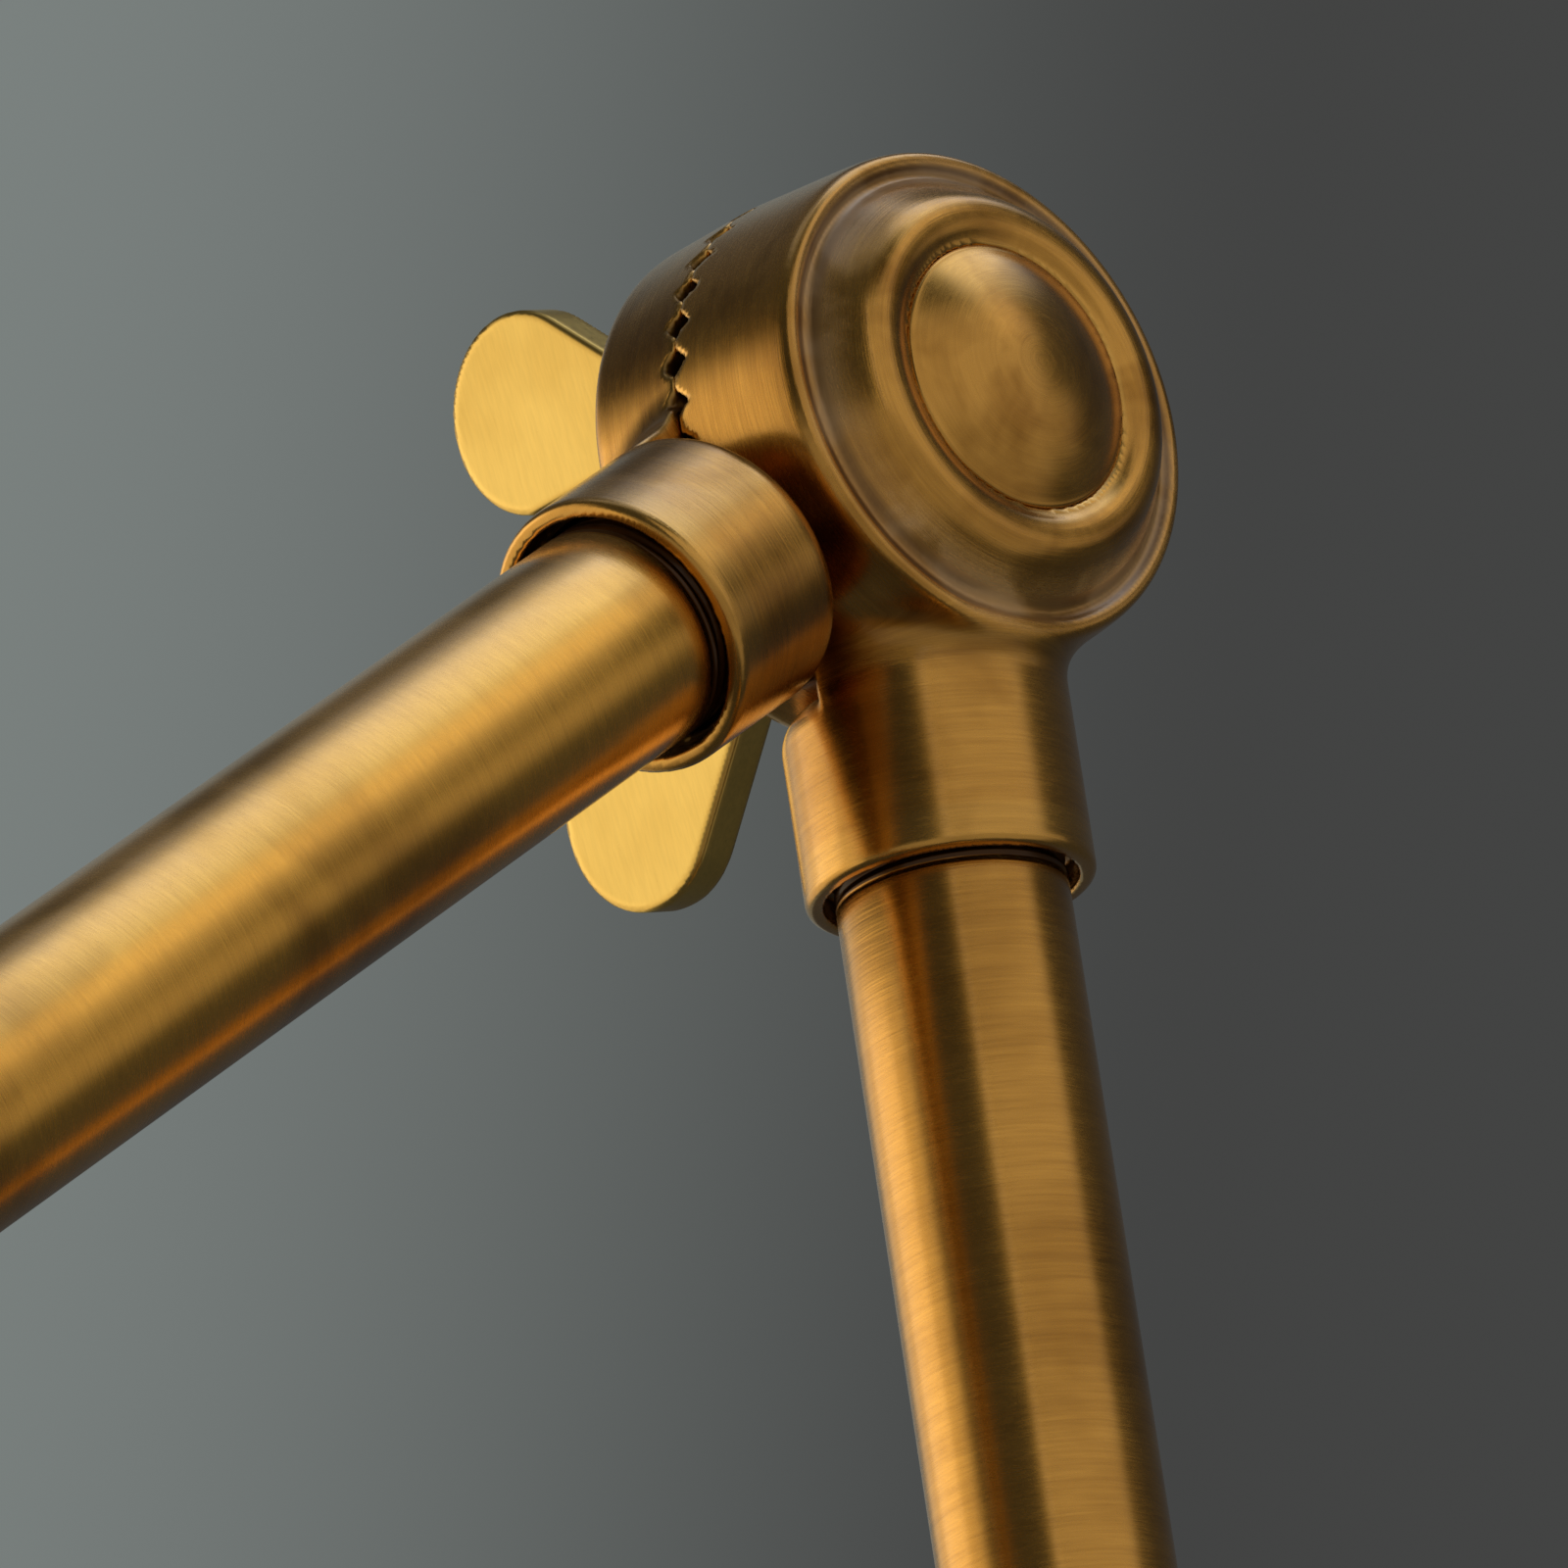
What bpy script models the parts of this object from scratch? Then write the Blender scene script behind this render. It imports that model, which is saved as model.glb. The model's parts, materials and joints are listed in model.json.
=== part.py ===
"""Swing arm desk lamp in antique brass.

Two tube arms on a weighted round base, joined by three clamped knuckles.  Each knuckle is two drum
halves with radial teeth, a pivot bolt under a domed cap, a spring that parts the teeth and a wing
nut that clamps them.  The lamp faces -Y, every hinge turns about X, and the origin is the middle of
the felt pad's underside.
"""
import math

import bmesh
import bpy
from mathutils import Matrix, Vector

MM = 0.001
GAP = 0.3 * MM                        # space left between pieces that touch
MERGE = 0.005 * MM                    # points closer than this are one

# Overall layout
BASE_HINGE_HEIGHT = 112 * MM
LOWER_ARM_LENGTH = 388 * MM           # base hinge to elbow hinge
UPPER_ARM_LENGTH = 300 * MM           # elbow hinge to head hinge
UPPER_ARM_PITCHES = 6                 # teeth between the two arms at the elbow
HEAD_PITCHES = 13                     # teeth between the upper arm and the head's stem

# Arm tubes and the leads inside them
TUBE_RADIUS = 8 * MM
TUBE_WALL = 1.5 * MM
LEAD_RADIUS = 1.5 * MM
LEAD_OFFSET = 3.4 * MM                # of a lead from the middle plane, inside a knuckle
LEAD_HOLE_RADIUS = 1.9 * MM
LEAD_END = 9.5 * MM                   # of a lead from the hinge axis
LEAD_EASE = 24 * MM                   # length over which a lead moves to the tube's axis
LEAD_BEND = 6 * MM                    # radius of the base lead's quarter bend

# Knuckle drums
DRUM_RADIUS = 18.8 * MM
TOOTH_COUNT = 38
TOOTH_LENGTH = 6.8 * MM
TOOTH_DEPTH = 0.9 * MM
POCKET_DEPTH = 5 * MM
FRONT_DEPTH = 10.8 * MM
FRONT_TAPER = 1.2 * MM
REAR_DEPTH = 9.2 * MM
REAR_BEVEL = 0.8 * MM
RIM_WIDTH = 1.1 * MM
COVE_DEPTH = 0.7 * MM
RING_RADIUS = 11.7 * MM
RING_WIDTH = 1.4 * MM
RING_HEIGHT = 3.5 * MM                # above the rim
CAP_SEAT_RADIUS = 9.6 * MM
CAP_SEAT_DEPTH = 1.2 * MM             # below the rim
DOME_RISE = 3.1 * MM

# Collars that the tubes screw into
COLLAR_WALL = 2 * MM
COLLAR_CLEARANCE = 2.7 * MM           # over the facing drum
COLLAR_LENGTH = 11.1 * MM
COLLAR_CHAMFER = 0.8 * MM
SOCKET_DEPTH = 8.5 * MM
MOUTH_DEPTH = 1.8 * MM
MOUTH_WIDTH = 1.1 * MM                # ring of space round the tube at the collar's mouth
NECK_ROOT = 6 * MM                    # how far a neck reaches into its drum

# Pivot bolt, spring, washer and wing nut
BOLT_RADIUS = 3 * MM
BOLT_HEAD_RADIUS = 5.8 * MM
BOLT_HEAD_HEIGHT = 2.6 * MM
BOLT_END = 1.5 * MM                   # beyond the nut's barrel
SPRING_RADIUS = 5 * MM
SPRING_WIRE = 0.5 * MM
SPRING_TURNS = 3
WASHER_RADIUS = 8 * MM
WASHER_HEIGHT = 1.5 * MM
NUT_BASE_RADIUS = 7.6 * MM
NUT_TOP_RADIUS = 6.4 * MM
NUT_HEIGHT = 12 * MM
WING_RADIUS = 7.2 * MM
WING_REACH = 14.8 * MM                # ear centre from the hinge axis
WING_RISE = 19.6 * MM                 # ear centre above the nut's base
WING_INSIDE = 7.8 * MM                # straight inner edge from the hinge axis
WING_THICKNESS = 3.2 * MM
WING_ANGLE = math.radians(100)        # of the wings in the YZ plane
CAP_WALL = 1.6 * MM

# Base
BASE_RADIUS = 110 * MM
BASE_EDGE_HEIGHT = 12 * MM
BASE_CROWN_HEIGHT = 30.5 * MM         # where the crown meets the boss
BASE_LIFT = 1.5 * MM                  # cover's lower edge above the table
BOSS_FLARE = ((2 * MM, 7 * MM), (9 * MM, 2 * MM), (26 * MM, 0))     # out from boss, above crown
CROWN_FALL = ((40 * MM, 1.7 * MM), (20 * MM, 5.5 * MM))             # in from edge, below crown
EDGE_STEP = ((12 * MM, 7 * MM), (9 * MM, 4 * MM), (2 * MM, 2.5 * MM))  # in from edge, above it
COVER_WALL = 1.5 * MM
BOSS_RADIUS = 15.5 * MM
BOSS_HEIGHT = 46 * MM
FELT_HEIGHT = 2 * MM
FELT_INSET = 3 * MM
PLATE_HEIGHT = 2 * MM
PLATE_INSET = 1 * MM                  # inside the felt's edge
WEIGHT_RADIUS = 92 * MM
WEIGHT_EDGE_HEIGHT = 14 * MM
WEIGHT_HEIGHT = 21.5 * MM
WEIGHT_RECESS_RADIUS = 20 * MM
WEIGHT_WEB = 7.5 * MM                 # iron left above the recess
GROOVE_WIDTH = 4.4 * MM
GROOVE_HEIGHT = 4.4 * MM
SCREW_COUNT = 3
SCREW_CIRCLE = 60 * MM
SCREW_RADIUS = 2 * MM
SCREW_HEAD_RADIUS = 3.9 * MM
SCREW_LENGTH = 12 * MM
BUSH_WALL = 4 * MM
BUSH_FLANGE_WIDTH = 3 * MM
BUSH_FLANGE_HEIGHT = 2.2 * MM
BUSH_NUT_WALL = 5 * MM
BUSH_NUT_HEIGHT = 5 * MM
BUSH_TAIL = 1 * MM                    # bush below its nut
CLIP_WALL = 3 * MM
CLIP_HEIGHT = 2.6 * MM
POST_COLLAR_WALL = 4.5 * MM
POST_COLLAR_HEIGHT = 5 * MM
GLAND_RADIUS = 3.3 * MM
GLAND_FLANGE_RADIUS = 4.4 * MM
GLAND_FLANGE_HEIGHT = 2.2 * MM
GLAND_LENGTH = 3.8 * MM

# Head, measured along its stem from the head hinge
STEM_END = 57 * MM
CUP_TOP = 46 * MM
CUP_NECK_WALL = 3 * MM
CUP_FLOOR = 52.5 * MM
CUP_RADIUS = 21 * MM
CUP_WALL = 1.5 * MM
CUP_SHOULDER = 6 * MM
CUP_END = 92.3 * MM
STEM_NUT_WALL = 3.7 * MM
STEM_NUT_HEIGHT = 4 * MM
HOLDER_TOP = 61 * MM
HOLDER_FLOOR = 74 * MM
HOLDER_END = 100 * MM
BULB_CAP_RADIUS = 13.4 * MM
BULB_CAP_WALL = 0.6 * MM
BULB_CAP_TOP = 77 * MM
BULB_CAP_END = 99 * MM
BULB_CAP_SHOULDER = 4 * MM
BULB_TIP_RADIUS = 4 * MM
BULB_TIP_TOP = 75.6 * MM
BULB_TIP_BEVEL = 0.9 * MM
BULB_RADIUS = 30 * MM
BULB_CENTRE = 133 * MM
BULB_GLASS = 0.8 * MM
BULB_NECK_START = 90 * MM
BULB_THROAT_FLARE = 3 * MM            # where the globe starts, wider than its neck
STEM_GLASS_RADIUS = 3 * MM
STEM_GLASS_END = 117 * MM
STEM_FLARE_EDGE = 2 * MM
STEM_FLARE_LENGTH = 8 * MM
FILAMENT_RADIUS = 0.4 * MM
FILAMENT_REACH = 10 * MM
FILAMENT_PEAKS = 6
FILAMENT_SWING = 2 * MM
FILAMENT_RISE = 12 * MM               # of the zigzag's middle above the pillar
FILAMENT_ROOT = 6 * MM                # of the wires' lower ends below the pillar's end
SHADE_WALL = 1 * MM
SHADE_FLAT_RADIUS = 27 * MM
SHADE_SHOULDER = 22 * MM
SHADE_SHOULDER_END = math.radians(34)
SHADE_RADIUS = 80 * MM
SHADE_END = 172 * MM
SHADE_RIM_RADIUS = 1.6 * MM
RING_NUT_WALL = 4.5 * MM
RING_NUT_HEIGHT = 5 * MM
SWITCH_LEVEL = 67.5 * MM
SWITCH_SHAFT_RADIUS = 2.5 * MM
SWITCH_SHAFT_START = 15.5 * MM
SWITCH_STANDOFF = 3 * MM              # knob from the cup
KNOB_RADIUS = 7 * MM
KNOB_LENGTH = 12 * MM
KNOB_END = 2 * MM                     # plastic left over the shaft's end
KNOB_FLUTES = 12
KNOB_FLUTE_DEPTH = 0.7 * MM

# Sizes that follow from those above
TOOTH_PITCH = 2 * math.pi / TOOTH_COUNT
TOOTH_PHASE = TOOTH_PITCH / 3         # first notch from a half's own stem
POCKET_RADIUS = DRUM_RADIUS - TOOTH_LENGTH
COLLAR_RADIUS = TUBE_RADIUS + COLLAR_WALL
COLLAR_ROOT = DRUM_RADIUS + COLLAR_CLEARANCE
COLLAR_END = COLLAR_ROOT + COLLAR_LENGTH
SOCKET_FLOOR = COLLAR_END - SOCKET_DEPTH
TUBE_END = SOCKET_FLOOR + GAP         # of a tube from the hinge axis
TUBE_BORE = TUBE_RADIUS - TUBE_WALL
WASHER_SEAT = REAR_DEPTH + GAP
NUT_SEAT = WASHER_SEAT + WASHER_HEIGHT + GAP
CAP_SEAT = FRONT_DEPTH - CAP_SEAT_DEPTH
CAP_RADIUS = CAP_SEAT_RADIUS - GAP
RING_TOP = FRONT_DEPTH + RING_HEIGHT

DOWN = -math.pi / 2
UP = math.pi / 2
ARM_ANGLE = DOWN - UPPER_ARM_PITCHES * TOOTH_PITCH
HEAD_ANGLE = ARM_ANGLE + math.pi - HEAD_PITCHES * TOOTH_PITCH

BASE_HINGE = Vector((0, 0, BASE_HINGE_HEIGHT))
ELBOW = BASE_HINGE + Vector((0, 0, LOWER_ARM_LENGTH))
HEAD_HINGE = ELBOW + UPPER_ARM_LENGTH * Vector((0, math.cos(ARM_ANGLE), math.sin(ARM_ANGLE)))

PLATE_BOTTOM = FELT_HEIGHT + GAP
PLATE_TOP = PLATE_BOTTOM + PLATE_HEIGHT
WEIGHT_BOTTOM = PLATE_TOP + GAP
WEIGHT_TOP = WEIGHT_BOTTOM + WEIGHT_HEIGHT
RECESS_TOP = WEIGHT_TOP - WEIGHT_WEB
BUSH_BORE = TUBE_RADIUS + GAP
BUSH_RADIUS = BUSH_BORE + BUSH_WALL
BUSH_NUT_TOP = RECESS_TOP - GAP
BUSH_BOTTOM = BUSH_NUT_TOP - BUSH_NUT_HEIGHT - BUSH_TAIL
BUSH_TOP = BOSS_HEIGHT + GAP + BUSH_FLANGE_HEIGHT
CLIP_TOP = BUSH_BOTTOM - GAP
POST_BOTTOM = CLIP_TOP - CLIP_HEIGHT
LEAD_LEVEL = WEIGHT_BOTTOM + LEAD_RADIUS + GAP / 2
LEAD_JOIN = POST_BOTTOM + LEAD_BEND      # where the base's lead meets the post's

ROUND = 20                            # sides of a small turned piece
WIDE = 32                             # sides of a large one


# Scene, finishes and placing

for old in list(bpy.data.objects):
    bpy.data.objects.remove(old, do_unlink=True)
lamp = bpy.data.collections.new("swing_arm_desk_lamp")
cutters = bpy.data.collections.new("cutters")
for group in (lamp, cutters):
    bpy.context.scene.collection.children.link(group)

FINISHES = {
    "antique_brass": ((0.36, 0.23, 0.09), 1.0, 0.38),
    "polished_brass": ((0.72, 0.50, 0.20), 1.0, 0.25),
    "steel": ((0.45, 0.45, 0.46), 1.0, 0.4),
    "cast_iron": ((0.09, 0.09, 0.10), 0.6, 0.8),
    "felt": ((0.05, 0.09, 0.06), 0.0, 0.95),
    "black_plastic": ((0.03, 0.03, 0.03), 0.0, 0.5),
    "porcelain": ((0.80, 0.78, 0.73), 0.0, 0.3),
    "clear_glass": ((0.90, 0.92, 0.92), 0.0, 0.05),
    "tungsten": ((0.25, 0.24, 0.23), 1.0, 0.5),
    "lead_sheath": ((0.10, 0.07, 0.05), 0.0, 0.6),
}


def finish(slot):
    """The Principled material of one finish."""
    if slot in bpy.data.materials:
        return bpy.data.materials[slot]
    colour, metallic, roughness = FINISHES[slot]
    material = bpy.data.materials.new(slot)
    material.use_nodes = True
    shader = material.node_tree.nodes["Principled BSDF"]
    shader.inputs["Base Color"].default_value = (*colour, 1)
    shader.inputs["Metallic"].default_value = metallic
    shader.inputs["Roughness"].default_value = roughness
    return material


def own_finish(name, slot):
    """A material of the piece's own, copied from a finish."""
    material = finish(slot).copy()
    material.name = name + "_" + slot
    return material


def empty_at(name, place):
    """An empty on a joint's axis, for its moving pieces to hang on."""
    empty = bpy.data.objects.new(name, None)
    empty.location = place
    empty.empty_display_size = 0.03
    lamp.objects.link(empty)
    return empty


def add_piece(name, mesh, slot, parent, turn=None):
    """Add one finished piece, turned by a matrix about its parent's origin."""
    piece = bpy.data.objects.new(name, mesh.copy())
    piece.data.name = name
    piece.data.materials.clear()
    piece.data.materials.append(own_finish(name, slot))
    piece.data.shade_smooth()
    piece.data.set_sharp_from_angle(angle=math.radians(30))
    piece.parent = parent
    if turn is not None:
        piece.matrix_local = turn
    lamp.objects.link(piece)
    return piece


def across(angle=0.0):
    """Matrix that lays local Z along the hinge axis, with local X at an angle in the YZ plane."""
    to_hinge = Matrix(((0, 0, 1, 0), (1, 0, 0, 0), (0, 1, 0, 0), (0, 0, 0, 1)))
    return to_hinge @ Matrix.Rotation(angle, 4, "Z")


def along(angle):
    """Matrix that lays local Z along a stem at an angle in the YZ plane, with local X on the hinge."""
    c, s = math.cos(angle), math.sin(angle)
    return Matrix(((1, 0, 0, 0), (0, s, c, 0), (0, -c, s, 0), (0, 0, 0, 1)))


# Shapes

def evaluated_mesh(piece):
    """The mesh a piece has with its modifiers, after which the piece itself is removed."""
    bpy.context.view_layer.update()
    depsgraph = bpy.context.evaluated_depsgraph_get()
    mesh = bpy.data.meshes.new_from_object(piece.evaluated_get(depsgraph))
    bpy.data.objects.remove(piece, do_unlink=True)
    work = bmesh.new()
    work.from_mesh(mesh)
    bmesh.ops.remove_doubles(work, verts=work.verts, dist=MERGE / 2)
    bmesh.ops.recalc_face_normals(work, faces=work.faces)
    work.to_mesh(mesh)
    work.free()
    return mesh


def helper(name, data):
    """A hidden working object."""
    piece = bpy.data.objects.new(name, data)
    piece.hide_render = True
    piece.display_type = "WIRE"
    cutters.objects.link(piece)
    return piece


def spun(outline, edges, steps):
    """A working object that turns the edges between (radius, height) points round local Z."""
    mesh = bpy.data.meshes.new("outline")
    mesh.from_pydata([(radius, 0, height) for radius, height in outline], edges, [])
    piece = helper("spun", mesh)
    screw = piece.modifiers.new("Turned", "SCREW")
    screw.steps = steps
    screw.render_steps = steps
    screw.use_merge_vertices = True
    screw.merge_threshold = MERGE
    return piece


def turned(outline, steps):
    """Turn (radius, height) points round local Z.  The outline runs down its outer side; it closes
    on itself unless both of its ends lie on the axis."""
    count = len(outline)
    on_axis = outline[0][0] == 0 and outline[-1][0] == 0
    edges = [(i, (i + 1) % count) for i in range(count - 1 if on_axis else count)]
    return evaluated_mesh(spun(outline, edges, steps))


def turned_loop(points, steps):
    """Turn a wall whose outer and inner lines each end on the axis: it opens at its first point."""
    middle = len(points) // 2
    edges = [(i, i + 1) for i in range(len(points) - 1) if i + 1 != middle]
    edges.append((len(points) - 1, 0))
    return evaluated_mesh(spun(points, edges, steps))


def turned_sheet(outline, thickness, offset, steps):
    """Turn an open line of points and give the sheet a thickness on one of its sides."""
    piece = spun(outline, [(i, i + 1) for i in range(len(outline) - 1)], steps)
    wall = piece.modifiers.new("Wall", "SOLIDIFY")
    wall.thickness = thickness
    wall.offset = offset
    return evaluated_mesh(piece)


def ring(inner, outer, bottom, top, steps=ROUND):
    """A plain turned ring."""
    return turned([(outer, top), (outer, bottom), (inner, bottom), (inner, top)], steps)


def rod(radius, bottom, top, steps=ROUND):
    """A plain turned rod."""
    return turned([(0, top), (radius, top), (radius, bottom), (0, bottom)], steps)


def box(low, high):
    """A box between two corners."""
    work = bmesh.new()
    bmesh.ops.create_cube(work, size=1)
    low, high = Vector(low), Vector(high)
    size = high - low
    move = Matrix.Translation((low + high) / 2) @ Matrix.Diagonal((*size, 1))
    bmesh.ops.transform(work, matrix=move, verts=work.verts)
    mesh = bpy.data.meshes.new("box")
    work.to_mesh(mesh)
    work.free()
    return mesh


def placed(mesh, matrix):
    """A mesh moved by a matrix."""
    mesh.transform(matrix)
    mesh.update()
    return mesh


def combine(mesh, operation, other):
    """Boolean of two meshes: UNION or DIFFERENCE."""
    piece = helper("body", mesh)
    tool = helper("tool", other)
    boolean = piece.modifiers.new("Boolean", "BOOLEAN")
    boolean.operation = operation
    boolean.object = tool
    boolean.solver = "EXACT"
    result = evaluated_mesh(piece)
    bpy.data.objects.remove(tool, do_unlink=True)
    return result


def flat_outline(points, thickness):
    """A flat closed outline in XY, filled and given a thickness about its middle plane."""
    curve = bpy.data.curves.new("outline", "CURVE")
    curve.dimensions = "2D"
    curve.fill_mode = "BOTH"
    curve.extrude = thickness / 2
    spline = curve.splines.new("POLY")
    spline.points.add(len(points) - 1)
    for point, (x, y) in zip(spline.points, points):
        point.co = (x, y, 0, 1)
    spline.use_cyclic_u = True
    return evaluated_mesh(helper("outline", curve))


def wire(points, radius, sides=8):
    """A round wire along a list of points, with its ends filled."""
    curve = bpy.data.curves.new("wire", "CURVE")
    curve.dimensions = "3D"
    curve.bevel_depth = radius
    curve.bevel_resolution = (sides - 4) // 2
    curve.use_fill_caps = True
    spline = curve.splines.new("POLY")
    spline.points.add(len(points) - 1)
    for point, place in zip(spline.points, points):
        point.co = (*place, 1)
    return evaluated_mesh(helper("wire", curve))


def arc(centre, radius, start, end, count):
    """Points (x, y) on an arc, angles in radians, both ends included."""
    step = (end - start) / (count - 1)
    return [(centre[0] + radius * math.cos(start + step * i),
             centre[1] + radius * math.sin(start + step * i)) for i in range(count)]


# Knuckle pieces.  Local Z is the hinge axis, Z = 0 the plane of the teeth, and local X the stem.

def cut_teeth(mesh, face_height):
    """Halve every edge of the toothed face's two rings and sink the new points into notches."""
    work = bmesh.new()
    work.from_mesh(mesh)
    into = math.copysign(1, face_height)
    edges = [e for e in work.edges if all(abs(v.co.z - face_height) < GAP / 10 for v in e.verts)]
    sunk = []
    for edge in edges:
        lengths = [v.co.xy.length for v in edge.verts]
        if abs(lengths[0] - lengths[1]) > GAP or min(lengths) < POCKET_RADIUS - GAP:
            continue
        middle = bmesh.utils.edge_split(edge, edge.verts[0], 0.5)[1]
        middle.co.z += into * TOOTH_DEPTH * lengths[0] / DRUM_RADIUS
        sunk.append(middle)
    outer = [v for v in sunk if v.co.xy.length > (POCKET_RADIUS + DRUM_RADIUS) / 2]
    inner = [v for v in sunk if v not in outer]
    for vert in outer:
        partner = min(inner, key=lambda v: (v.co.xy.normalized() - vert.co.xy.normalized()).length)
        bmesh.ops.connect_verts(work, verts=[vert, partner])
    bmesh.ops.triangulate(work, faces=work.faces)
    work.to_mesh(mesh)
    work.free()
    return mesh


def collar_blank(side):
    """The neck and collar of one half, as a turned cup along the stem, cut clear of the other half."""
    blank = turned([(0, COLLAR_END - SOCKET_DEPTH),
                    (TUBE_RADIUS + GAP, COLLAR_END - SOCKET_DEPTH),
                    (TUBE_RADIUS + GAP, COLLAR_END - MOUTH_DEPTH),
                    (TUBE_RADIUS + MOUTH_WIDTH, COLLAR_END - MOUTH_DEPTH),
                    (TUBE_RADIUS + MOUTH_WIDTH, COLLAR_END),
                    (COLLAR_RADIUS - COLLAR_CHAMFER, COLLAR_END),
                    (COLLAR_RADIUS, COLLAR_END - COLLAR_CHAMFER),
                    (COLLAR_RADIUS, DRUM_RADIUS - NECK_ROOT),
                    (0, DRUM_RADIUS - NECK_ROOT)], ROUND)
    blank = placed(blank, Matrix.Rotation(UP, 4, "Y"))
    reach = 2 * COLLAR_RADIUS
    faces = sorted((side * GAP / 2, -side * reach))
    return combine(blank, "DIFFERENCE", box((0, -reach, faces[0]), (COLLAR_ROOT, reach, faces[1])))


def knuckle_half(side, drum_outline):
    """One half: a toothed drum with its neck, collar and lead hole."""
    drum = turned(drum_outline, TOOTH_COUNT)
    drum = cut_teeth(drum, side * GAP / 2)
    drum = placed(drum, Matrix.Rotation(TOOTH_PHASE + TOOTH_PITCH / 2, 4, "Z"))
    half = combine(drum, "UNION", collar_blank(side))
    hole = rod(LEAD_HOLE_RADIUS, POCKET_RADIUS - MM, SOCKET_FLOOR + MM, 12)
    aside = Matrix.Translation((0, 0, side * LEAD_OFFSET))
    hole = placed(hole, aside @ Matrix.Rotation(UP, 4, "Y"))
    return combine(half, "DIFFERENCE", hole)


def front_half():
    """Rim, cove and raised ring on the outer face, round the seat of the domed cap."""
    rim = DRUM_RADIUS - FRONT_TAPER
    outline = [(RING_RADIUS - RING_WIDTH / 2, RING_TOP),
               (RING_RADIUS + RING_WIDTH / 2, RING_TOP),
               (RING_RADIUS + 1.7 * RING_WIDTH, FRONT_DEPTH),
               (rim - 1.8 * RIM_WIDTH, FRONT_DEPTH - COVE_DEPTH),
               (rim - RIM_WIDTH, FRONT_DEPTH),
               (rim, FRONT_DEPTH),
               (DRUM_RADIUS, GAP / 2),
               (POCKET_RADIUS, GAP / 2),
               (POCKET_RADIUS, POCKET_DEPTH),
               (BOLT_RADIUS + GAP, POCKET_DEPTH),
               (BOLT_RADIUS + GAP, CAP_SEAT),
               (CAP_SEAT_RADIUS, CAP_SEAT),
               (CAP_SEAT_RADIUS, RING_TOP - 0.2 * RING_HEIGHT)]
    return knuckle_half(1, outline)


def rear_half():
    """Plain drum with a bevelled back."""
    outline = [(DRUM_RADIUS, -GAP / 2),
               (DRUM_RADIUS, REAR_BEVEL - REAR_DEPTH),
               (DRUM_RADIUS - REAR_BEVEL, -REAR_DEPTH),
               (BOLT_RADIUS + GAP, -REAR_DEPTH),
               (BOLT_RADIUS + GAP, -POCKET_DEPTH),
               (POCKET_RADIUS, -POCKET_DEPTH),
               (POCKET_RADIUS, -GAP / 2)]
    return knuckle_half(-1, outline)


def dome_cap():
    """Hollow domed cap that hides the bolt's head: the dome is an arc through its rise and edge."""
    edge = RING_TOP - 0.2 * RING_HEIGHT
    dome_radius = (CAP_RADIUS ** 2 + DOME_RISE ** 2) / (2 * DOME_RISE)
    spread = math.asin(CAP_RADIUS / dome_radius)
    dome = arc((0, edge + DOME_RISE - dome_radius), dome_radius, UP, UP - spread, 5)
    dome[0] = (0, edge + DOME_RISE)
    bore = CAP_RADIUS - CAP_WALL
    inside = [(CAP_RADIUS, CAP_SEAT + GAP), (bore, CAP_SEAT + GAP), (bore, edge - CAP_WALL / 2), (0, edge)]
    return turned(dome + inside, ROUND)


def pivot_bolt():
    """Hexagon head under the cap, and a shank through to the wing nut."""
    head_base = CAP_SEAT + GAP
    head = rod(BOLT_HEAD_RADIUS, head_base, head_base + BOLT_HEAD_HEIGHT, 6)
    shank = rod(BOLT_RADIUS, -(NUT_SEAT + NUT_HEIGHT + BOLT_END), head_base + BOLT_HEAD_HEIGHT / 2, 16)
    return combine(head, "UNION", shank)


def parting_spring():
    """Open coil round the bolt, between the floors of the two pockets."""
    top = POCKET_DEPTH - GAP - SPRING_WIRE
    count = SPRING_TURNS * 8
    points = []
    for i in range(count + 1):
        turn = 2 * math.pi * SPRING_TURNS * i / count
        points.append((SPRING_RADIUS * math.cos(turn), SPRING_RADIUS * math.sin(turn),
                       top * (1 - 2 * i / count)))
    return wire(points, SPRING_WIRE, 6)


def washer():
    """Flat washer on the rear drum."""
    return ring(BOLT_RADIUS + GAP, WASHER_RADIUS, -WASHER_SEAT - WASHER_HEIGHT, -WASHER_SEAT)


def wing_nut():
    """Tapered barrel with two flat ears.  The ears' outline lies in local XZ, with X along them."""
    slope = math.radians(45)
    far = [(WING_INSIDE, WING_RISE + math.sqrt(WING_RADIUS ** 2 - (WING_REACH - WING_INSIDE) ** 2))]
    far += arc((WING_REACH, WING_RISE), WING_RADIUS, math.radians(150), -slope, 14)
    foot = NUT_BASE_RADIUS * 0.8
    far.append((foot, far[-1][1] - (far[-1][0] - foot)))
    far.insert(0, (WING_INSIDE, NUT_HEIGHT * 0.8))
    far.insert(0, (0, NUT_HEIGHT * 0.8))
    outline = far + [(-x, y) for x, y in reversed(far)][:-1]
    ears = flat_outline(outline, WING_THICKNESS)
    ears = placed(ears, Matrix.Rotation(math.pi / 2, 4, "X"))
    barrel = turned([(0, NUT_HEIGHT), (NUT_TOP_RADIUS, NUT_HEIGHT), (NUT_BASE_RADIUS, NUT_HEIGHT * 0.15),
                     (NUT_BASE_RADIUS, 0), (0, 0)], ROUND)
    nut = combine(barrel, "UNION", ears)
    nut = combine(nut, "DIFFERENCE", rod(BOLT_RADIUS + GAP, -MM, NUT_HEIGHT + MM, 16))
    nut = placed(nut, Matrix.Rotation(math.pi, 4, "X"))
    return placed(nut, Matrix.Translation((0, 0, -NUT_SEAT)))


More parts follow.
